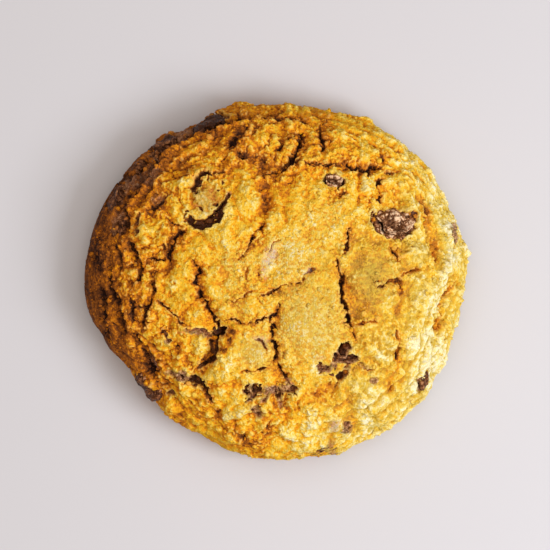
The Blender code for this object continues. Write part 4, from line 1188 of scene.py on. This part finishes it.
def make_dough():
    deselect()
    bpy.ops.mesh.primitive_ico_sphere_add(subdivisions=BALL_LEVEL, radius=1)
    dough = bpy.context.object
    dough.name = "cookie_dough"
    mesh = dough.data
    plain, down = spread_over_cookie(corners_of(mesh))
    set_corners(mesh, plain)
    outward = normals_of(mesh)
    form = crust_relief(plain, down)
    shaped = plain + outward * form["relief"][:, None]
    shaped[:, 2] = np.maximum(shaped[:, 2], 0.0)
    set_corners(mesh, shaped * MM)

    finer = 4 ** (BALL_LEVEL - 8)
    # Fine lows and broad hollows of the relief, from which shade is painted into the colours.
    fine = form["relief"] - smoothed(mesh, form["relief"], 4 * finer)
    hollow = form["relief"] - smoothed(mesh, form["relief"], 30 * finer)
    # The brown mark holds the crust's browning together with its painted shade and light.
    brown = np.clip(browning_and_painted_shade(form, plain, hollow, fine), -0.3, 1.6)
    set_mark(mesh, "brown", brown)
    # Painted shade in the lows of the lit side, together with the dough's own olive places.
    shade_and_olive = painted_shade_and_olive(form, plain, hollow, fine) * smooth_step(0.95, 0.6, brown)
    set_mark(mesh, "shade_and_olive", np.clip(shade_and_olive, 0, 1))
    # Painted highlight on the raised tips, where they are not browned.
    set_mark(mesh, "tip_highlight", np.clip(fine / 0.2, 0, 1) * smooth_step(0.95, 0.5, brown))
    set_mark(mesh, "sunk", form["sunk"])
    set_mark(mesh, "opened", form["opened"])
    set_mark(mesh, "smear", form["smear"])
    set_mark(mesh, "veil", form["veil"])
    set_mark(mesh, "blush", form["blush"])
    set_mark(mesh, "near", np.clip(form["near"], -1, 3))
    set_mark(mesh, "plates", form["plates"] * smooth_step(0.95, 0.6, brown))
    set_mark(mesh, "base", smooth_step(1.2, 0.1, plain[:, 2]))

    thinning = dough.modifiers.new("thinning", "DECIMATE")
    thinning.ratio = MOST_TRIANGLES / (20 * 4 ** (BALL_LEVEL - 1))
    apply_all(dough)
    bpy.ops.object.shade_smooth()
    return dough


def read_mark(mesh, name):
    values = np.empty(len(mesh.vertices), np.float32)
    mesh.attributes[name].data.foreach_get("value", values)
    return values


def random_turns(chance, count):
    """Turning matrices spread evenly over all directions."""
    w, x, y, z = (chance.normal(size=(4, count)) / 1).tolist()
    turns = np.array([w, x, y, z])
    w, x, y, z = turns / np.linalg.norm(turns, axis=0)
    rows = (
        (1 - 2 * (y * y + z * z), 2 * (x * y - z * w), 2 * (x * z + y * w)),
        (2 * (x * y + z * w), 1 - 2 * (x * x + z * z), 2 * (y * z - x * w)),
        (2 * (x * z - y * w), 2 * (y * z + x * w), 1 - 2 * (x * x + y * y)),
    )
    return np.array(rows).transpose(2, 0, 1)


def strew(name, host, count, ball_level, smallest, largest, lift, wanted, seed):
    """Crumbs strewn over a piece: uneven lumps, each partly sunk, that carry the marks under them."""
    chance = np.random.RandomState(seed)
    mesh = host.data
    mesh.calc_loop_triangles()
    corners = corners_of(mesh) / MM
    triangles = np.empty(len(mesh.loop_triangles) * 3, np.int32)
    mesh.loop_triangles.foreach_get("vertices", triangles)
    triangles = triangles.reshape(-1, 3)
    a, b, c = corners[triangles[:, 0]], corners[triangles[:, 1]], corners[triangles[:, 2]]
    cross = np.cross(b - a, c - a)
    area = np.linalg.norm(cross, axis=1)
    facing = cross / np.maximum(area, 1e-9)[:, None]
    marks = {mark.name: read_mark(mesh, mark.name) for mark in mesh.attributes if mark.data_type == "FLOAT"}
    face_marks = {label: values[triangles].mean(1) for label, values in marks.items()}
    weight = area * wanted((a + b + c) / 3, facing, face_marks)
    chosen = chance.choice(len(triangles), count, p=weight / weight.sum())
    mix = chance.dirichlet((1, 1, 1), count)
    middles = mix[:, :1] * a[chosen] + mix[:, 1:2] * b[chosen] + mix[:, 2:] * c[chosen]

    deselect()
    bpy.ops.mesh.primitive_ico_sphere_add(subdivisions=ball_level, radius=1)
    crumb = bpy.context.object
    ball = corners_of(crumb.data)
    faces = np.array([face.vertices[:] for face in crumb.data.polygons])
    sizes = smallest * (largest / smallest) ** (chance.rand(count) ** 1.6)
    lumps = ball[None] * (1 + 0.5 * (chance.rand(count, len(ball), 1) - 0.5))
    lumps = lumps * (sizes[:, None] * (0.7 + 0.5 * chance.rand(count, 3)))[:, None]
    lumps = np.einsum("nij,nkj->nki", random_turns(chance, count), lumps)
    lumps += (middles + facing[chosen] * (sizes * lift)[:, None])[:, None]
    lumps[:, :, 2] = np.maximum(lumps[:, :, 2], 0.02)
    joined = faces[None] + len(ball) * np.arange(count)[:, None, None]
    crumbs = bpy.data.meshes.new(name)
    crumbs.from_pydata((lumps.reshape(-1, 3) * MM).tolist(), [], joined.reshape(-1, 3).tolist())
    crumb.data = crumbs
    crumb.name = name
    own = chance.rand(count) - 0.5
    for label, values in face_marks.items():
        value = values[chosen]
        if label == "brown":
            value = np.clip(0.75 * value + 0.05 + 0.24 * own, -0.2, 1.3)
        if label in ("sunk", "opened", "smear", "veil"):
            value = 0.0 * value
        if label == "blush":
            value = 0.8 * value
        set_mark(crumbs, label, np.repeat(value, len(ball)))
    activate(crumb)
    bpy.ops.object.shade_smooth()
    return crumb


def fine_crumbs_wanted(middles, facing, marks):
    near = np.exp(-np.clip(marks["near"], 0, 4) / 1.0)
    free = smooth_step(0.15, 0.8, facing[:, 2]) * (middles[:, 2] > 1.0) * (marks["opened"] < 0.3)
    return free * (0.25 + 0.5 * (1 - marks["plates"]) + 0.9 * near)


def coarse_crumbs_wanted(middles, facing, marks):
    near = np.exp(-np.clip(marks["near"] - 0.2, 0, 4) / 0.8)
    edge = smooth_step(0.05, 0.5, marks["opened"]) * smooth_step(0.98, 0.6, marks["opened"])
    free = smooth_step(0.35, 0.7, facing[:, 2]) * (middles[:, 2] > 1.5) * (marks["plates"] < 0.9)
    return free * (0.12 * (1 - marks["plates"]) + 0.7 * near + 0.6 * edge)


# ---------------------------------------------------------------- chocolate
def make_chunk(node, number, sinking, bloom):
    """A broken chunk of chocolate made from its plain solid: merged, refined and roughened."""
    source = frame["nodes"][node]
    chunk = source.copy()
    chunk.data = source.data.copy()
    chunk.parent = None
    chunk.name = node + "_piece"
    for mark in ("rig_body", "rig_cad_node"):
        if mark in chunk:
            del chunk[mark]
    bpy.context.scene.collection.objects.link(chunk)
    chunk.data.materials.clear()
    activate(chunk)
    bpy.ops.object.mode_set(mode="EDIT")
    bpy.ops.mesh.select_all(action="SELECT")
    bpy.ops.mesh.remove_doubles(threshold=0.00001)
    bpy.ops.mesh.normals_make_consistent(inside=False)
    bpy.ops.object.mode_set(mode="OBJECT")
    rounding = chunk.modifiers.new("rounding", "SUBSURF")
    rounding.levels = rounding.render_levels = 1
    rounding.subdivision_type = "CATMULL_CLARK"
    facets = chunk.modifiers.new("facets", "SUBSURF")
    facets.subdivision_type = "SIMPLE"
    facets.levels = facets.render_levels = 3
    apply_all(chunk)
    mesh = chunk.data
    corners = corners_of(mesh) / MM
    middle = corners.mean(0)
    corners = middle + (corners - middle) * 1.02
    set_corners(mesh, corners)
    outward = normals_of(mesh)
    shift = 10.0 * number
    middle[2] = 0.0
    inward = middle / np.linalg.norm(middle) * 0.5 + (0, 0, 0.85)
    drift = np.column_stack([soft_noise(corners, 3.0, shift + k) for k in (1.3, 2.6, 3.9)])
    lumps, seams, tone = clumps(corners + 0.3 * soft_noise(corners, 1.2, shift)[:, None], 1.7, shift)
    bits, _, bit_tone = clumps(corners, 0.75, shift + 5.0)
    flat = smooth_step(0.75, 0.95, outward[:, 2])
    rough = 0.6 * (lumps - 0.5) + 0.3 * soft_noise(corners, 0.9, shift) + 0.5 * (tone - 0.5)
    rough += 0.22 * (bits - 0.5) + 0.18 * (bit_tone - 0.5)
    crest = smooth_step(-0.35, 0.55, rough)
    rough *= 0.35 + 0.65 * flat
    plan = corners[:, :2]
    groove = smooth_step(0.3, 0.7, outward[:, 2]) * cut_trenches(plan, 0.2 * (bit_tone - 0.5))
    # Bloom, paler on the crests and on faces turned up: partly the chocolate's own bloom, partly a painted
    # highlight.
    bloom_and_highlight = bloom * (0.28 + 1.05 * crest) * (0.45 + 0.55 * smooth_step(0.2, 0.7, outward[:, 2]))
    # The pale lips are partly bloom and partly a painted highlight on their gloss.
    for half, height, paleness, route in LIPS:
        distance, _, place, whole = to_route(plan, route)
        taper = np.clip(0.2 + np.minimum(place, whole - place) / 1.2, 0.2, 1)
        raised = taper * np.exp(-(distance / half) ** 2) * (outward[:, 2] > 0.1)
        rough += height * raised
        bloom_and_highlight += (paleness - bloom_and_highlight) * np.clip(1.4 * raised, 0, 1)
    corners += 0.7 * drift + outward * (rough - 0.45 - 0.7 * groove)[:, None] - inward * sinking
    corners[:, 2] = np.maximum(corners[:, 2], 0.05)
    set_corners(mesh, corners * MM)
    hollow = np.clip(groove / 1.2, 0, 1)
    # Painted shade: the chunk's cracks, and the grooves cut round it, are marked to be drawn nearly black.
    set_mark(mesh, "split_shade", np.maximum((1 - seams) * (0.2 + 0.35 * flat), 0.95 * hollow))
    # The bloom mark is partly real bloom and partly painted highlight.
    set_mark(mesh, "bloom", bloom_and_highlight * (1 - 0.9 * hollow))
    activate(chunk)
    bpy.ops.object.shade_smooth()
    return chunk


# ---------------------------------------------------------------- finishes
def add(tree, kind, place, **settings):
    made = tree.nodes.new(kind)
    made.location = place
    for name, value in settings.items():
        if name in made.inputs:
            made.inputs[name].default_value = value
        else:
            setattr(made, name, value)
    return made


def ramp(tree, place, stops):
    made = tree.nodes.new("ShaderNodeValToRGB")
    made.location = place
    marks = made.color_ramp.elements
    while len(marks) < len(stops):
        marks.new(0.5)
    for mark, (position, colour) in zip(marks, stops):
        mark.position = position
        mark.color = (*colour, 1)
    return made


def blend_colours(tree, place, way="MIX"):
    made = tree.nodes.new("ShaderNodeMix")
    made.location = place
    made.data_type = "RGBA"
    made.blend_type = way
    made.inputs["Factor"].default_value = 1.0
    return made


def limits(tree, place, low, high, out_low=0.0, out_high=1.0):
    made = tree.nodes.new("ShaderNodeMapRange")
    made.location = place
    made.interpolation_type = "SMOOTHSTEP"
    for name, value in (("From Min", low), ("From Max", high), ("To Min", out_low), ("To Max", out_high)):
        made.inputs[name].default_value = value
    return made


def sums(tree, place, way, second=0.0):
    made = tree.nodes.new("ShaderNodeMath")
    made.location = place
    made.operation = way
    made.inputs[1].default_value = second
    return made


def new_group(name, inputs, outputs):
    group = bpy.data.node_groups.new(name, "ShaderNodeTree")
    for label, kind, value in inputs:
        socket = group.interface.new_socket(label, in_out="INPUT", socket_type=kind)
        if value is not None:
            socket.default_value = value
    for label, kind in outputs:
        group.interface.new_socket(label, in_out="OUTPUT", socket_type=kind)
    start = group.nodes.new("NodeGroupInput")
    start.location = (-900, 0)
    end = group.nodes.new("NodeGroupOutput")
    end.location = (900, 0)
    return group, start, end


def crumb_grain_group():
    """Grains of sugar and flour: a height for bump, and speckles of light and dark grains."""
    group, start, end = new_group(
        "crumb_grain",
        (("Position", "NodeSocketVector", None), ("Grain Size", "NodeSocketFloat", 0.0005)),
        (("Height", "NodeSocketFloat"), ("Speckle", "NodeSocketFloat"), ("Patches", "NodeSocketFloat")),
    )
    link = group.links.new
    scale = add(group, "ShaderNodeMath", (-700, -200), operation="DIVIDE")
    scale.inputs[0].default_value = 1.0
    link(start.outputs["Grain Size"], scale.inputs[1])
    coarse_scale = sums(group, (-500, -350), "MULTIPLY", 0.12)
    link(scale.outputs[0], coarse_scale.inputs[0])
    grains = add(group, "ShaderNodeTexVoronoi", (-400, 200), feature="F1")
    cloud = add(group, "ShaderNodeTexNoise", (-400, 0), Detail=3.0, Roughness=0.65)
    patches = add(group, "ShaderNodeTexNoise", (-400, -200), Detail=3.0, Roughness=0.55)
    for texture, size in ((grains, scale), (cloud, scale), (patches, coarse_scale)):
        link(start.outputs["Position"], texture.inputs["Vector"])
        link(size.outputs[0], texture.inputs["Scale"])
    bumps = sums(group, (-100, 200), "MULTIPLY", -0.7)
    link(grains.outputs["Distance"], bumps.inputs[0])
    height = sums(group, (100, 150), "ADD")
    link(bumps.outputs[0], height.inputs[0])
    link(cloud.outputs["Fac"], height.inputs[1])
    link(height.outputs[0], end.inputs["Height"])
    tone = add(group, "ShaderNodeSeparateColor", (-100, 0))
    link(grains.outputs["Color"], tone.inputs[0])
    speckle = add(group, "ShaderNodeMath", (100, -50), operation="ADD")
    link(tone.outputs[0], speckle.inputs[0])
    link(cloud.outputs["Fac"], speckle.inputs[1])
    half = sums(group, (300, -50), "MULTIPLY", 0.5)
    link(speckle.outputs[0], half.inputs[0])
    link(half.outputs[0], end.inputs["Speckle"])
    link(patches.outputs["Fac"], end.inputs["Patches"])
    return group


def cocoa_group():
    """Chocolate: dark brown with greyish bloom, duller where the bloom lies."""
    group, start, end = new_group(
        "chocolate_bloom",
        (("Position", "NodeSocketVector", None), ("Bloom", "NodeSocketFloat", 0.5)),
        (("Color", "NodeSocketColor"), ("Roughness", "NodeSocketFloat"), ("Height", "NodeSocketFloat")),
    )
    link = group.links.new
    film = add(group, "ShaderNodeTexNoise", (-600, 100), Scale=420.0, Detail=5.0, Roughness=0.7)
    dust = add(group, "ShaderNodeTexNoise", (-600, -150), Scale=1900.0, Detail=3.0, Roughness=0.6)
    for texture in (film, dust):
        link(start.outputs["Position"], texture.inputs["Vector"])
    both = add(group, "ShaderNodeMath", (-400, 0), operation="ADD")
    link(film.outputs["Fac"], both.inputs[0])
    link(dust.outputs["Fac"], both.inputs[1])
    veil = limits(group, (-200, 0), 0.72, 1.25)
    link(both.outputs[0], veil.inputs["Value"])
    amount = add(group, "ShaderNodeMath", (0, 0), operation="MULTIPLY")
    link(veil.outputs[0], amount.inputs[0])
    link(start.outputs["Bloom"], amount.inputs[1])
    shades = ramp(group, (250, 100), (
        (0.00, (0.045, 0.014, 0.006)),
        (0.25, (0.185, 0.060, 0.018)),
        (0.50, (0.37, 0.155, 0.060)),
        (0.75, (0.55, 0.285, 0.145)),
        (1.00, (0.82, 0.55, 0.34)),
    ))
    link(amount.outputs[0], shades.inputs["Fac"])
    link(shades.outputs["Color"], end.inputs["Color"])
    dull = limits(group, (250, -150), 0.0, 0.6, 0.22, 0.7)
    link(amount.outputs[0], dull.inputs["Value"])
    link(dull.outputs[0], end.inputs["Roughness"])
    link(both.outputs[0], end.inputs["Height"])
    return group


def place_group(tree, group, place, **values):
    made = tree.nodes.new("ShaderNodeGroup")
    made.node_tree = group
    made.location = place
    for name, value in values.items():
        made.inputs[name.replace("_", " ")].default_value = value
    return made


def new_finish(name):
    finish = bpy.data.materials.new(name)
    finish.use_nodes = True
    tree = finish.node_tree
    shader = tree.nodes["Principled BSDF"]
    shader.location = (1600, 0)
    tree.nodes["Material Output"].location = (1900, 0)
    place = add(tree, "ShaderNodeTexCoord", (-1800, 0))
    return finish, tree, shader, place


def dough_finish(grain_group, cocoa):
    finish, tree, shader, place = new_finish("baked_dough_crust")
    link = tree.links.new
    marks = {}
    for k, name in enumerate(("brown", "tip_highlight", "opened", "smear", "veil", "base", "plates", "blush", "shade_and_olive", "sunk")):
        marks[name] = add(tree, "ShaderNodeAttribute", (-1500, 900 - 220 * k), attribute_name=name)
    grain = place_group(tree, grain_group, (-1500, -1200), Grain_Size=0.00055)
    chocolate = place_group(tree, cocoa, (600, -500), Bloom=0.60)
    link(place.outputs["Object"], grain.inputs["Position"])
    link(place.outputs["Object"], chocolate.inputs["Position"])
    # Painted shade: chocolate deep in the openings and trenches is drawn darker, with less bloom.
    deeper_shade = limits(tree, (300, -600), 0.5, 1.0, 0.62, 0.10)
    link(marks["sunk"].outputs["Fac"], deeper_shade.inputs["Value"])
    link(deeper_shade.outputs[0], chocolate.inputs["Bloom"])

    # Browned more and less in soft patches, from pale yellow through gold and orange to dark brown; the brown mark
    # carries painted shade and light as well as browning.
    patch = limits(tree, (-1200, 300), 0.25, 0.75, -0.16, 0.16)
    link(grain.outputs["Patches"], patch.inputs["Value"])
    dotted = limits(tree, (-1200, 50), 0.22, 0.70, 0.20, -0.10)
    link(grain.outputs["Speckle"], dotted.inputs["Value"])
    first = sums(tree, (-1000, 300), "ADD")
    link(marks["brown"].outputs["Fac"], first.inputs[0])
    link(patch.outputs[0], first.inputs[1])
    finer = limits(tree, (-1200, -150), 0.25, 0.75, 0.34, -0.34)
    link(grain.outputs["Speckle"], finer.inputs["Value"])
    on_plates = sums(tree, (-1000, -150), "MULTIPLY")
    link(finer.outputs[0], on_plates.inputs[0])
    link(marks["plates"].outputs["Fac"], on_plates.inputs[1])
    grained = sums(tree, (-930, 0), "ADD")
    link(dotted.outputs[0], grained.inputs[0])
    link(on_plates.outputs[0], grained.inputs[1])
    second = sums(tree, (-850, 200), "ADD")
    link(first.outputs[0], second.inputs[0])
    link(grained.outputs[0], second.inputs[1])
    shifted = sums(tree, (-780, 100), "ADD", 0.3)
    link(second.outputs[0], shifted.inputs[0])
    scaled = sums(tree, (-700, 200), "DIVIDE", 1.8)
    link(shifted.outputs[0], scaled.inputs[0])
    crust = ramp(tree, (-550, 300), (
        (0.00, (0.91, 0.82, 0.54)),
        (0.12, (0.86, 0.67, 0.22)),
        (0.25, (0.82, 0.52, 0.055)),
        (0.36, (0.80, 0.43, 0.018)),
        (0.46, (0.79, 0.318, 0.009)),
        (0.56, (0.63, 0.198, 0.009)),
        (0.68, (0.37, 0.108, 0.010)),
        (0.82, (0.145, 0.042, 0.009)),
        (1.00, (0.030, 0.010, 0.006)),
    ))
    link(scaled.outputs[0], crust.inputs["Fac"])

    # The smooth plates are a little greener.
    olive = blend_colours(tree, (-300, 300))
    olive.inputs["B"].default_value = (0.66, 0.45, 0.075, 1)
    olive_mask = sums(tree, (-500, 700), "MULTIPLY", 0.6)
    link(marks["plates"].outputs["Fac"], olive_mask.inputs[0])
    link(olive_mask.outputs[0], olive.inputs["Factor"])
    link(crust.outputs["Color"], olive.inputs["A"])

    # Painted shade: the lows of the lit side are drawn dull olive rather than brown, as are the dough's own olive
    # places.
    shaded_olive = blend_colours(tree, (-250, 450))
    shaded_olive.inputs["B"].default_value = (0.42, 0.29, 0.045, 1)
    shade_olive_mask = sums(tree, (-400, 800), "MULTIPLY", 0.6)
    link(marks["shade_and_olive"].outputs["Fac"], shade_olive_mask.inputs[0])
    link(shade_olive_mask.outputs[0], shaded_olive.inputs["Factor"])
    link(olive.outputs["Result"], shaded_olive.inputs["A"])

    # Painted highlight: the raised tips of the crumbs are drawn pale, as if catching the light.
    tip_highlights = blend_colours(tree, (-200, 300))
    tip_highlights.inputs["B"].default_value = (0.90, 0.66, 0.20, 1)
    tip_highlight_mask = limits(tree, (-400, 600), 0.25, 1.0, 0.0, 0.40)
    link(marks["tip_highlight"].outputs["Fac"], tip_highlight_mask.inputs["Value"])
    link(tip_highlight_mask.outputs[0], tip_highlights.inputs["Factor"])
    link(shaded_olive.outputs["Result"], tip_highlights.inputs["A"])

    # Chocolate smeared into the dough, in broken patches.
    ragged = add(tree, "ShaderNodeTexNoise", (300, -300), Scale=1300.0, Detail=4.0, Roughness=0.75)
    link(place.outputs["Object"], ragged.inputs["Vector"])
    spread = sums(tree, (550, -200), "SUBTRACT")
    link(marks["smear"].outputs["Fac"], spread.inputs[0])
    link(ragged.outputs["Fac"], spread.inputs[1])
    smear_mask = limits(tree, (750, -100), -0.18, 0.18)
    link(spread.outputs[0], smear_mask.inputs["Value"])
    inside = limits(tree, (750, -300), 0.5, 0.95)
    link(marks["opened"].outputs["Fac"], inside.inputs["Value"])
    either = add(tree, "ShaderNodeMath", (950, -200), operation="MAXIMUM")
    link(smear_mask.outputs[0], either.inputs[0])
    link(inside.outputs[0], either.inputs[1])
    film = ramp(tree, (450, 500), (
        (0.38, (0.060, 0.018, 0.009)),
        (0.48, (0.22, 0.080, 0.036)),
        (0.56, (0.40, 0.178, 0.088)),
        (0.66, (0.74, 0.45, 0.25)),
    ))
    link(ragged.outputs["Fac"], film.inputs["Fac"])
    blushed = blend_colours(tree, (800, 400))
    blush_mask = limits(tree, (600, 700), 0.05, 0.75, 0.0, 0.9)
    link(marks["blush"].outputs["Fac"], blush_mask.inputs["Value"])
    link(blush_mask.outputs[0], blushed.inputs["Factor"])
    link(tip_highlights.outputs["Result"], blushed.inputs["A"])
    link(film.outputs["Color"], blushed.inputs["B"])
    veiled = blend_colours(tree, (950, 300))
    veiled.inputs["B"].default_value = (0.60, 0.50, 0.47, 1)
    cloudy = sums(tree, (550, 100), "MULTIPLY")
    link(marks["veil"].outputs["Fac"], cloudy.inputs[0])
    haze = limits(tree, (300, 0), 0.25, 0.75)
    link(ragged.outputs["Fac"], haze.inputs["Value"])
    link(haze.outputs[0], cloudy.inputs[1])
    link(cloudy.outputs[0], veiled.inputs["Factor"])
    link(blushed.outputs["Result"], veiled.inputs["A"])
    covered = blend_colours(tree, (1150, 300))
    link(either.outputs[0], covered.inputs["Factor"])
    link(veiled.outputs["Result"], covered.inputs["A"])
    link(chocolate.outputs["Color"], covered.inputs["B"])

    # The base is browned evenly on the baking sheet.
    sheet = blend_colours(tree, (1350, 300))
    sheet.inputs["B"].default_value = (0.40, 0.155, 0.030, 1)
    base_mask = sums(tree, (1150, 600), "MULTIPLY", 0.8)
    link(marks["base"].outputs["Fac"], base_mask.inputs[0])
    link(base_mask.outputs[0], sheet.inputs["Factor"])
    link(covered.outputs["Result"], sheet.inputs["A"])
    link(sheet.outputs["Result"], shader.inputs["Base Color"])

    gloss = limits(tree, (1350, -100), 0.0, 1.0, 0.72, 0.40)
    link(either.outputs[0], gloss.inputs["Value"])
    link(gloss.outputs[0], shader.inputs["Roughness"])
    bump = add(tree, "ShaderNodeBump", (1350, -400), Strength=0.75, Distance=0.00035)
    link(grain.outputs["Height"], bump.inputs["Height"])
    link(bump.outputs["Normal"], shader.inputs["Normal"])
    shader.inputs["Specular IOR Level"].default_value = 0.08
    gleam = sums(tree, (1350, -700), "MULTIPLY", 0.15)
    link(either.outputs[0], gleam.inputs[0])
    link(gleam.outputs[0], shader.inputs["Coat Weight"])
    shader.inputs["Coat Roughness"].default_value = 0.25
    return finish


def chocolate_finish(cocoa):
    finish, tree, shader, place = new_finish("broken_chocolate")
    link = tree.links.new
    split_shade = add(tree, "ShaderNodeAttribute", (-900, 400), attribute_name="split_shade")
    bloom = add(tree, "ShaderNodeAttribute", (-900, 100), attribute_name="bloom")
    chocolate = place_group(tree, cocoa, (-600, 0), Bloom=1.0)
    link(place.outputs["Object"], chocolate.inputs["Position"])
    link(bloom.outputs["Fac"], chocolate.inputs["Bloom"])
    # Painted shade: the chunk's cracks and grooves are drawn nearly black.
    dark = blend_colours(tree, (600, 200))
    dark.inputs["B"].default_value = (0.012, 0.005, 0.004, 1)
    link(split_shade.outputs["Fac"], dark.inputs["Factor"])
    link(chocolate.outputs["Color"], dark.inputs["A"])
    link(dark.outputs["Result"], shader.inputs["Base Color"])
    link(chocolate.outputs["Roughness"], shader.inputs["Roughness"])
    shader.inputs["Specular IOR Level"].default_value = 0.12
    bump = add(tree, "ShaderNodeBump", (600, -300), Strength=0.6, Distance=0.00018)
    link(chocolate.outputs["Height"], bump.inputs["Height"])
    link(bump.outputs["Normal"], shader.inputs["Normal"])
    return finish


# ---------------------------------------------------------------- the stage
def make_stage():
    deselect()
    bpy.ops.mesh.primitive_plane_add(size=6.0, location=(0, 0, 0))
    floor = bpy.context.object
    floor.name = "floor"
    paint = bpy.data.materials.new("pale_table")
    paint.use_nodes = True
    shader = paint.node_tree.nodes["Principled BSDF"]
    shader.inputs["Base Color"].default_value = (0.594, 0.566, 0.582, 1)
    shader.inputs["Roughness"].default_value = 0.6
    shader.inputs["Specular IOR Level"].default_value = 0.2
    floor.data.materials.append(paint)

    bpy.ops.object.light_add(type="AREA", location=(0.42, -0.17, 0.44))
    window = bpy.context.object
    window.name = "window_light"
    window.data.shape = "RECTANGLE"
    window.data.size = 0.34
    window.data.size_y = 0.30
    window.data.energy = 3.0
    window.data.color = (0.94, 1.0, 1.07)
    aim = Vector((0, 0, 0.01)) - window.location
    window.rotation_euler = aim.to_track_quat("-Z", "Y").to_euler()

    world = bpy.data.worlds.new("soft_room")
    world.use_nodes = True
    tree = world.node_tree
    sky = tree.nodes["Background"]
    way = add(tree, "ShaderNodeTexCoord", (-900, 0))
    parts = add(tree, "ShaderNodeSeparateXYZ", (-700, 0))
    tree.links.new(way.outputs["Generated"], parts.inputs[0])
    glow = limits(tree, (-500, 0), 0.35, 1.0, 0.13, 1.32)
    tree.links.new(parts.outputs["Z"], glow.inputs["Value"])
    tree.links.new(glow.outputs[0], sky.inputs["Strength"])
    warmer = limits(tree, (-500, 300), -0.7, 0.7, 1.0, 0.0)
    tree.links.new(parts.outputs["X"], warmer.inputs["Value"])
    tint = blend_colours(tree, (-300, 300))
    tint.inputs["A"].default_value = (0.965, 0.965, 0.965, 1)
    tint.inputs["B"].default_value = (1.075, 0.965, 0.845, 1)
    tree.links.new(warmer.outputs[0], tint.inputs["Factor"])
    tree.links.new(tint.outputs["Result"], sky.inputs["Color"])
    bpy.context.scene.world = world
    bpy.context.scene.view_settings.view_transform = "Standard"


def make_camera():
    eye = bpy.data.cameras.new("camera")
    eye.sensor_width = 36.0
    camera_height = 2.6
    view_width = 0.1375
    eye.lens = eye.sensor_width * (camera_height - WAIST_HEIGHT * MM) / view_width
    eye.clip_end = 50.0
    camera = bpy.data.objects.new("camera", eye)
    bpy.context.scene.collection.objects.link(camera)
    camera.location = (0.0, 0.0015, camera_height)
    bpy.context.scene.camera = camera


def main():
    make_camera()
    make_stage()
    grain_group = crumb_grain_group()
    cocoa = cocoa_group()
    crust = dough_finish(grain_group, cocoa)
    dough = make_dough()
    fine = strew("fine_crumbs", dough, 6000, 1, 0.15, 0.30, -0.1, fine_crumbs_wanted, 3)
    coarse = strew("coarse_crumbs", dough, 1300, 2, 0.30, 0.75, -0.15, coarse_crumbs_wanted, 4)
    for piece in (dough, fine, coarse):
        piece.data.materials.append(crust)
        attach(piece, "root")
    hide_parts("dough")
    chocolate = chocolate_finish(cocoa)
    for number, node in enumerate(sorted(frame["nodes"])):
        if node == "dough":
            continue
        chunk = make_chunk(node, number, *SINKING[node])
        chunk.data.materials.append(chocolate)
        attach(chunk, "root")
        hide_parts(node)


main()
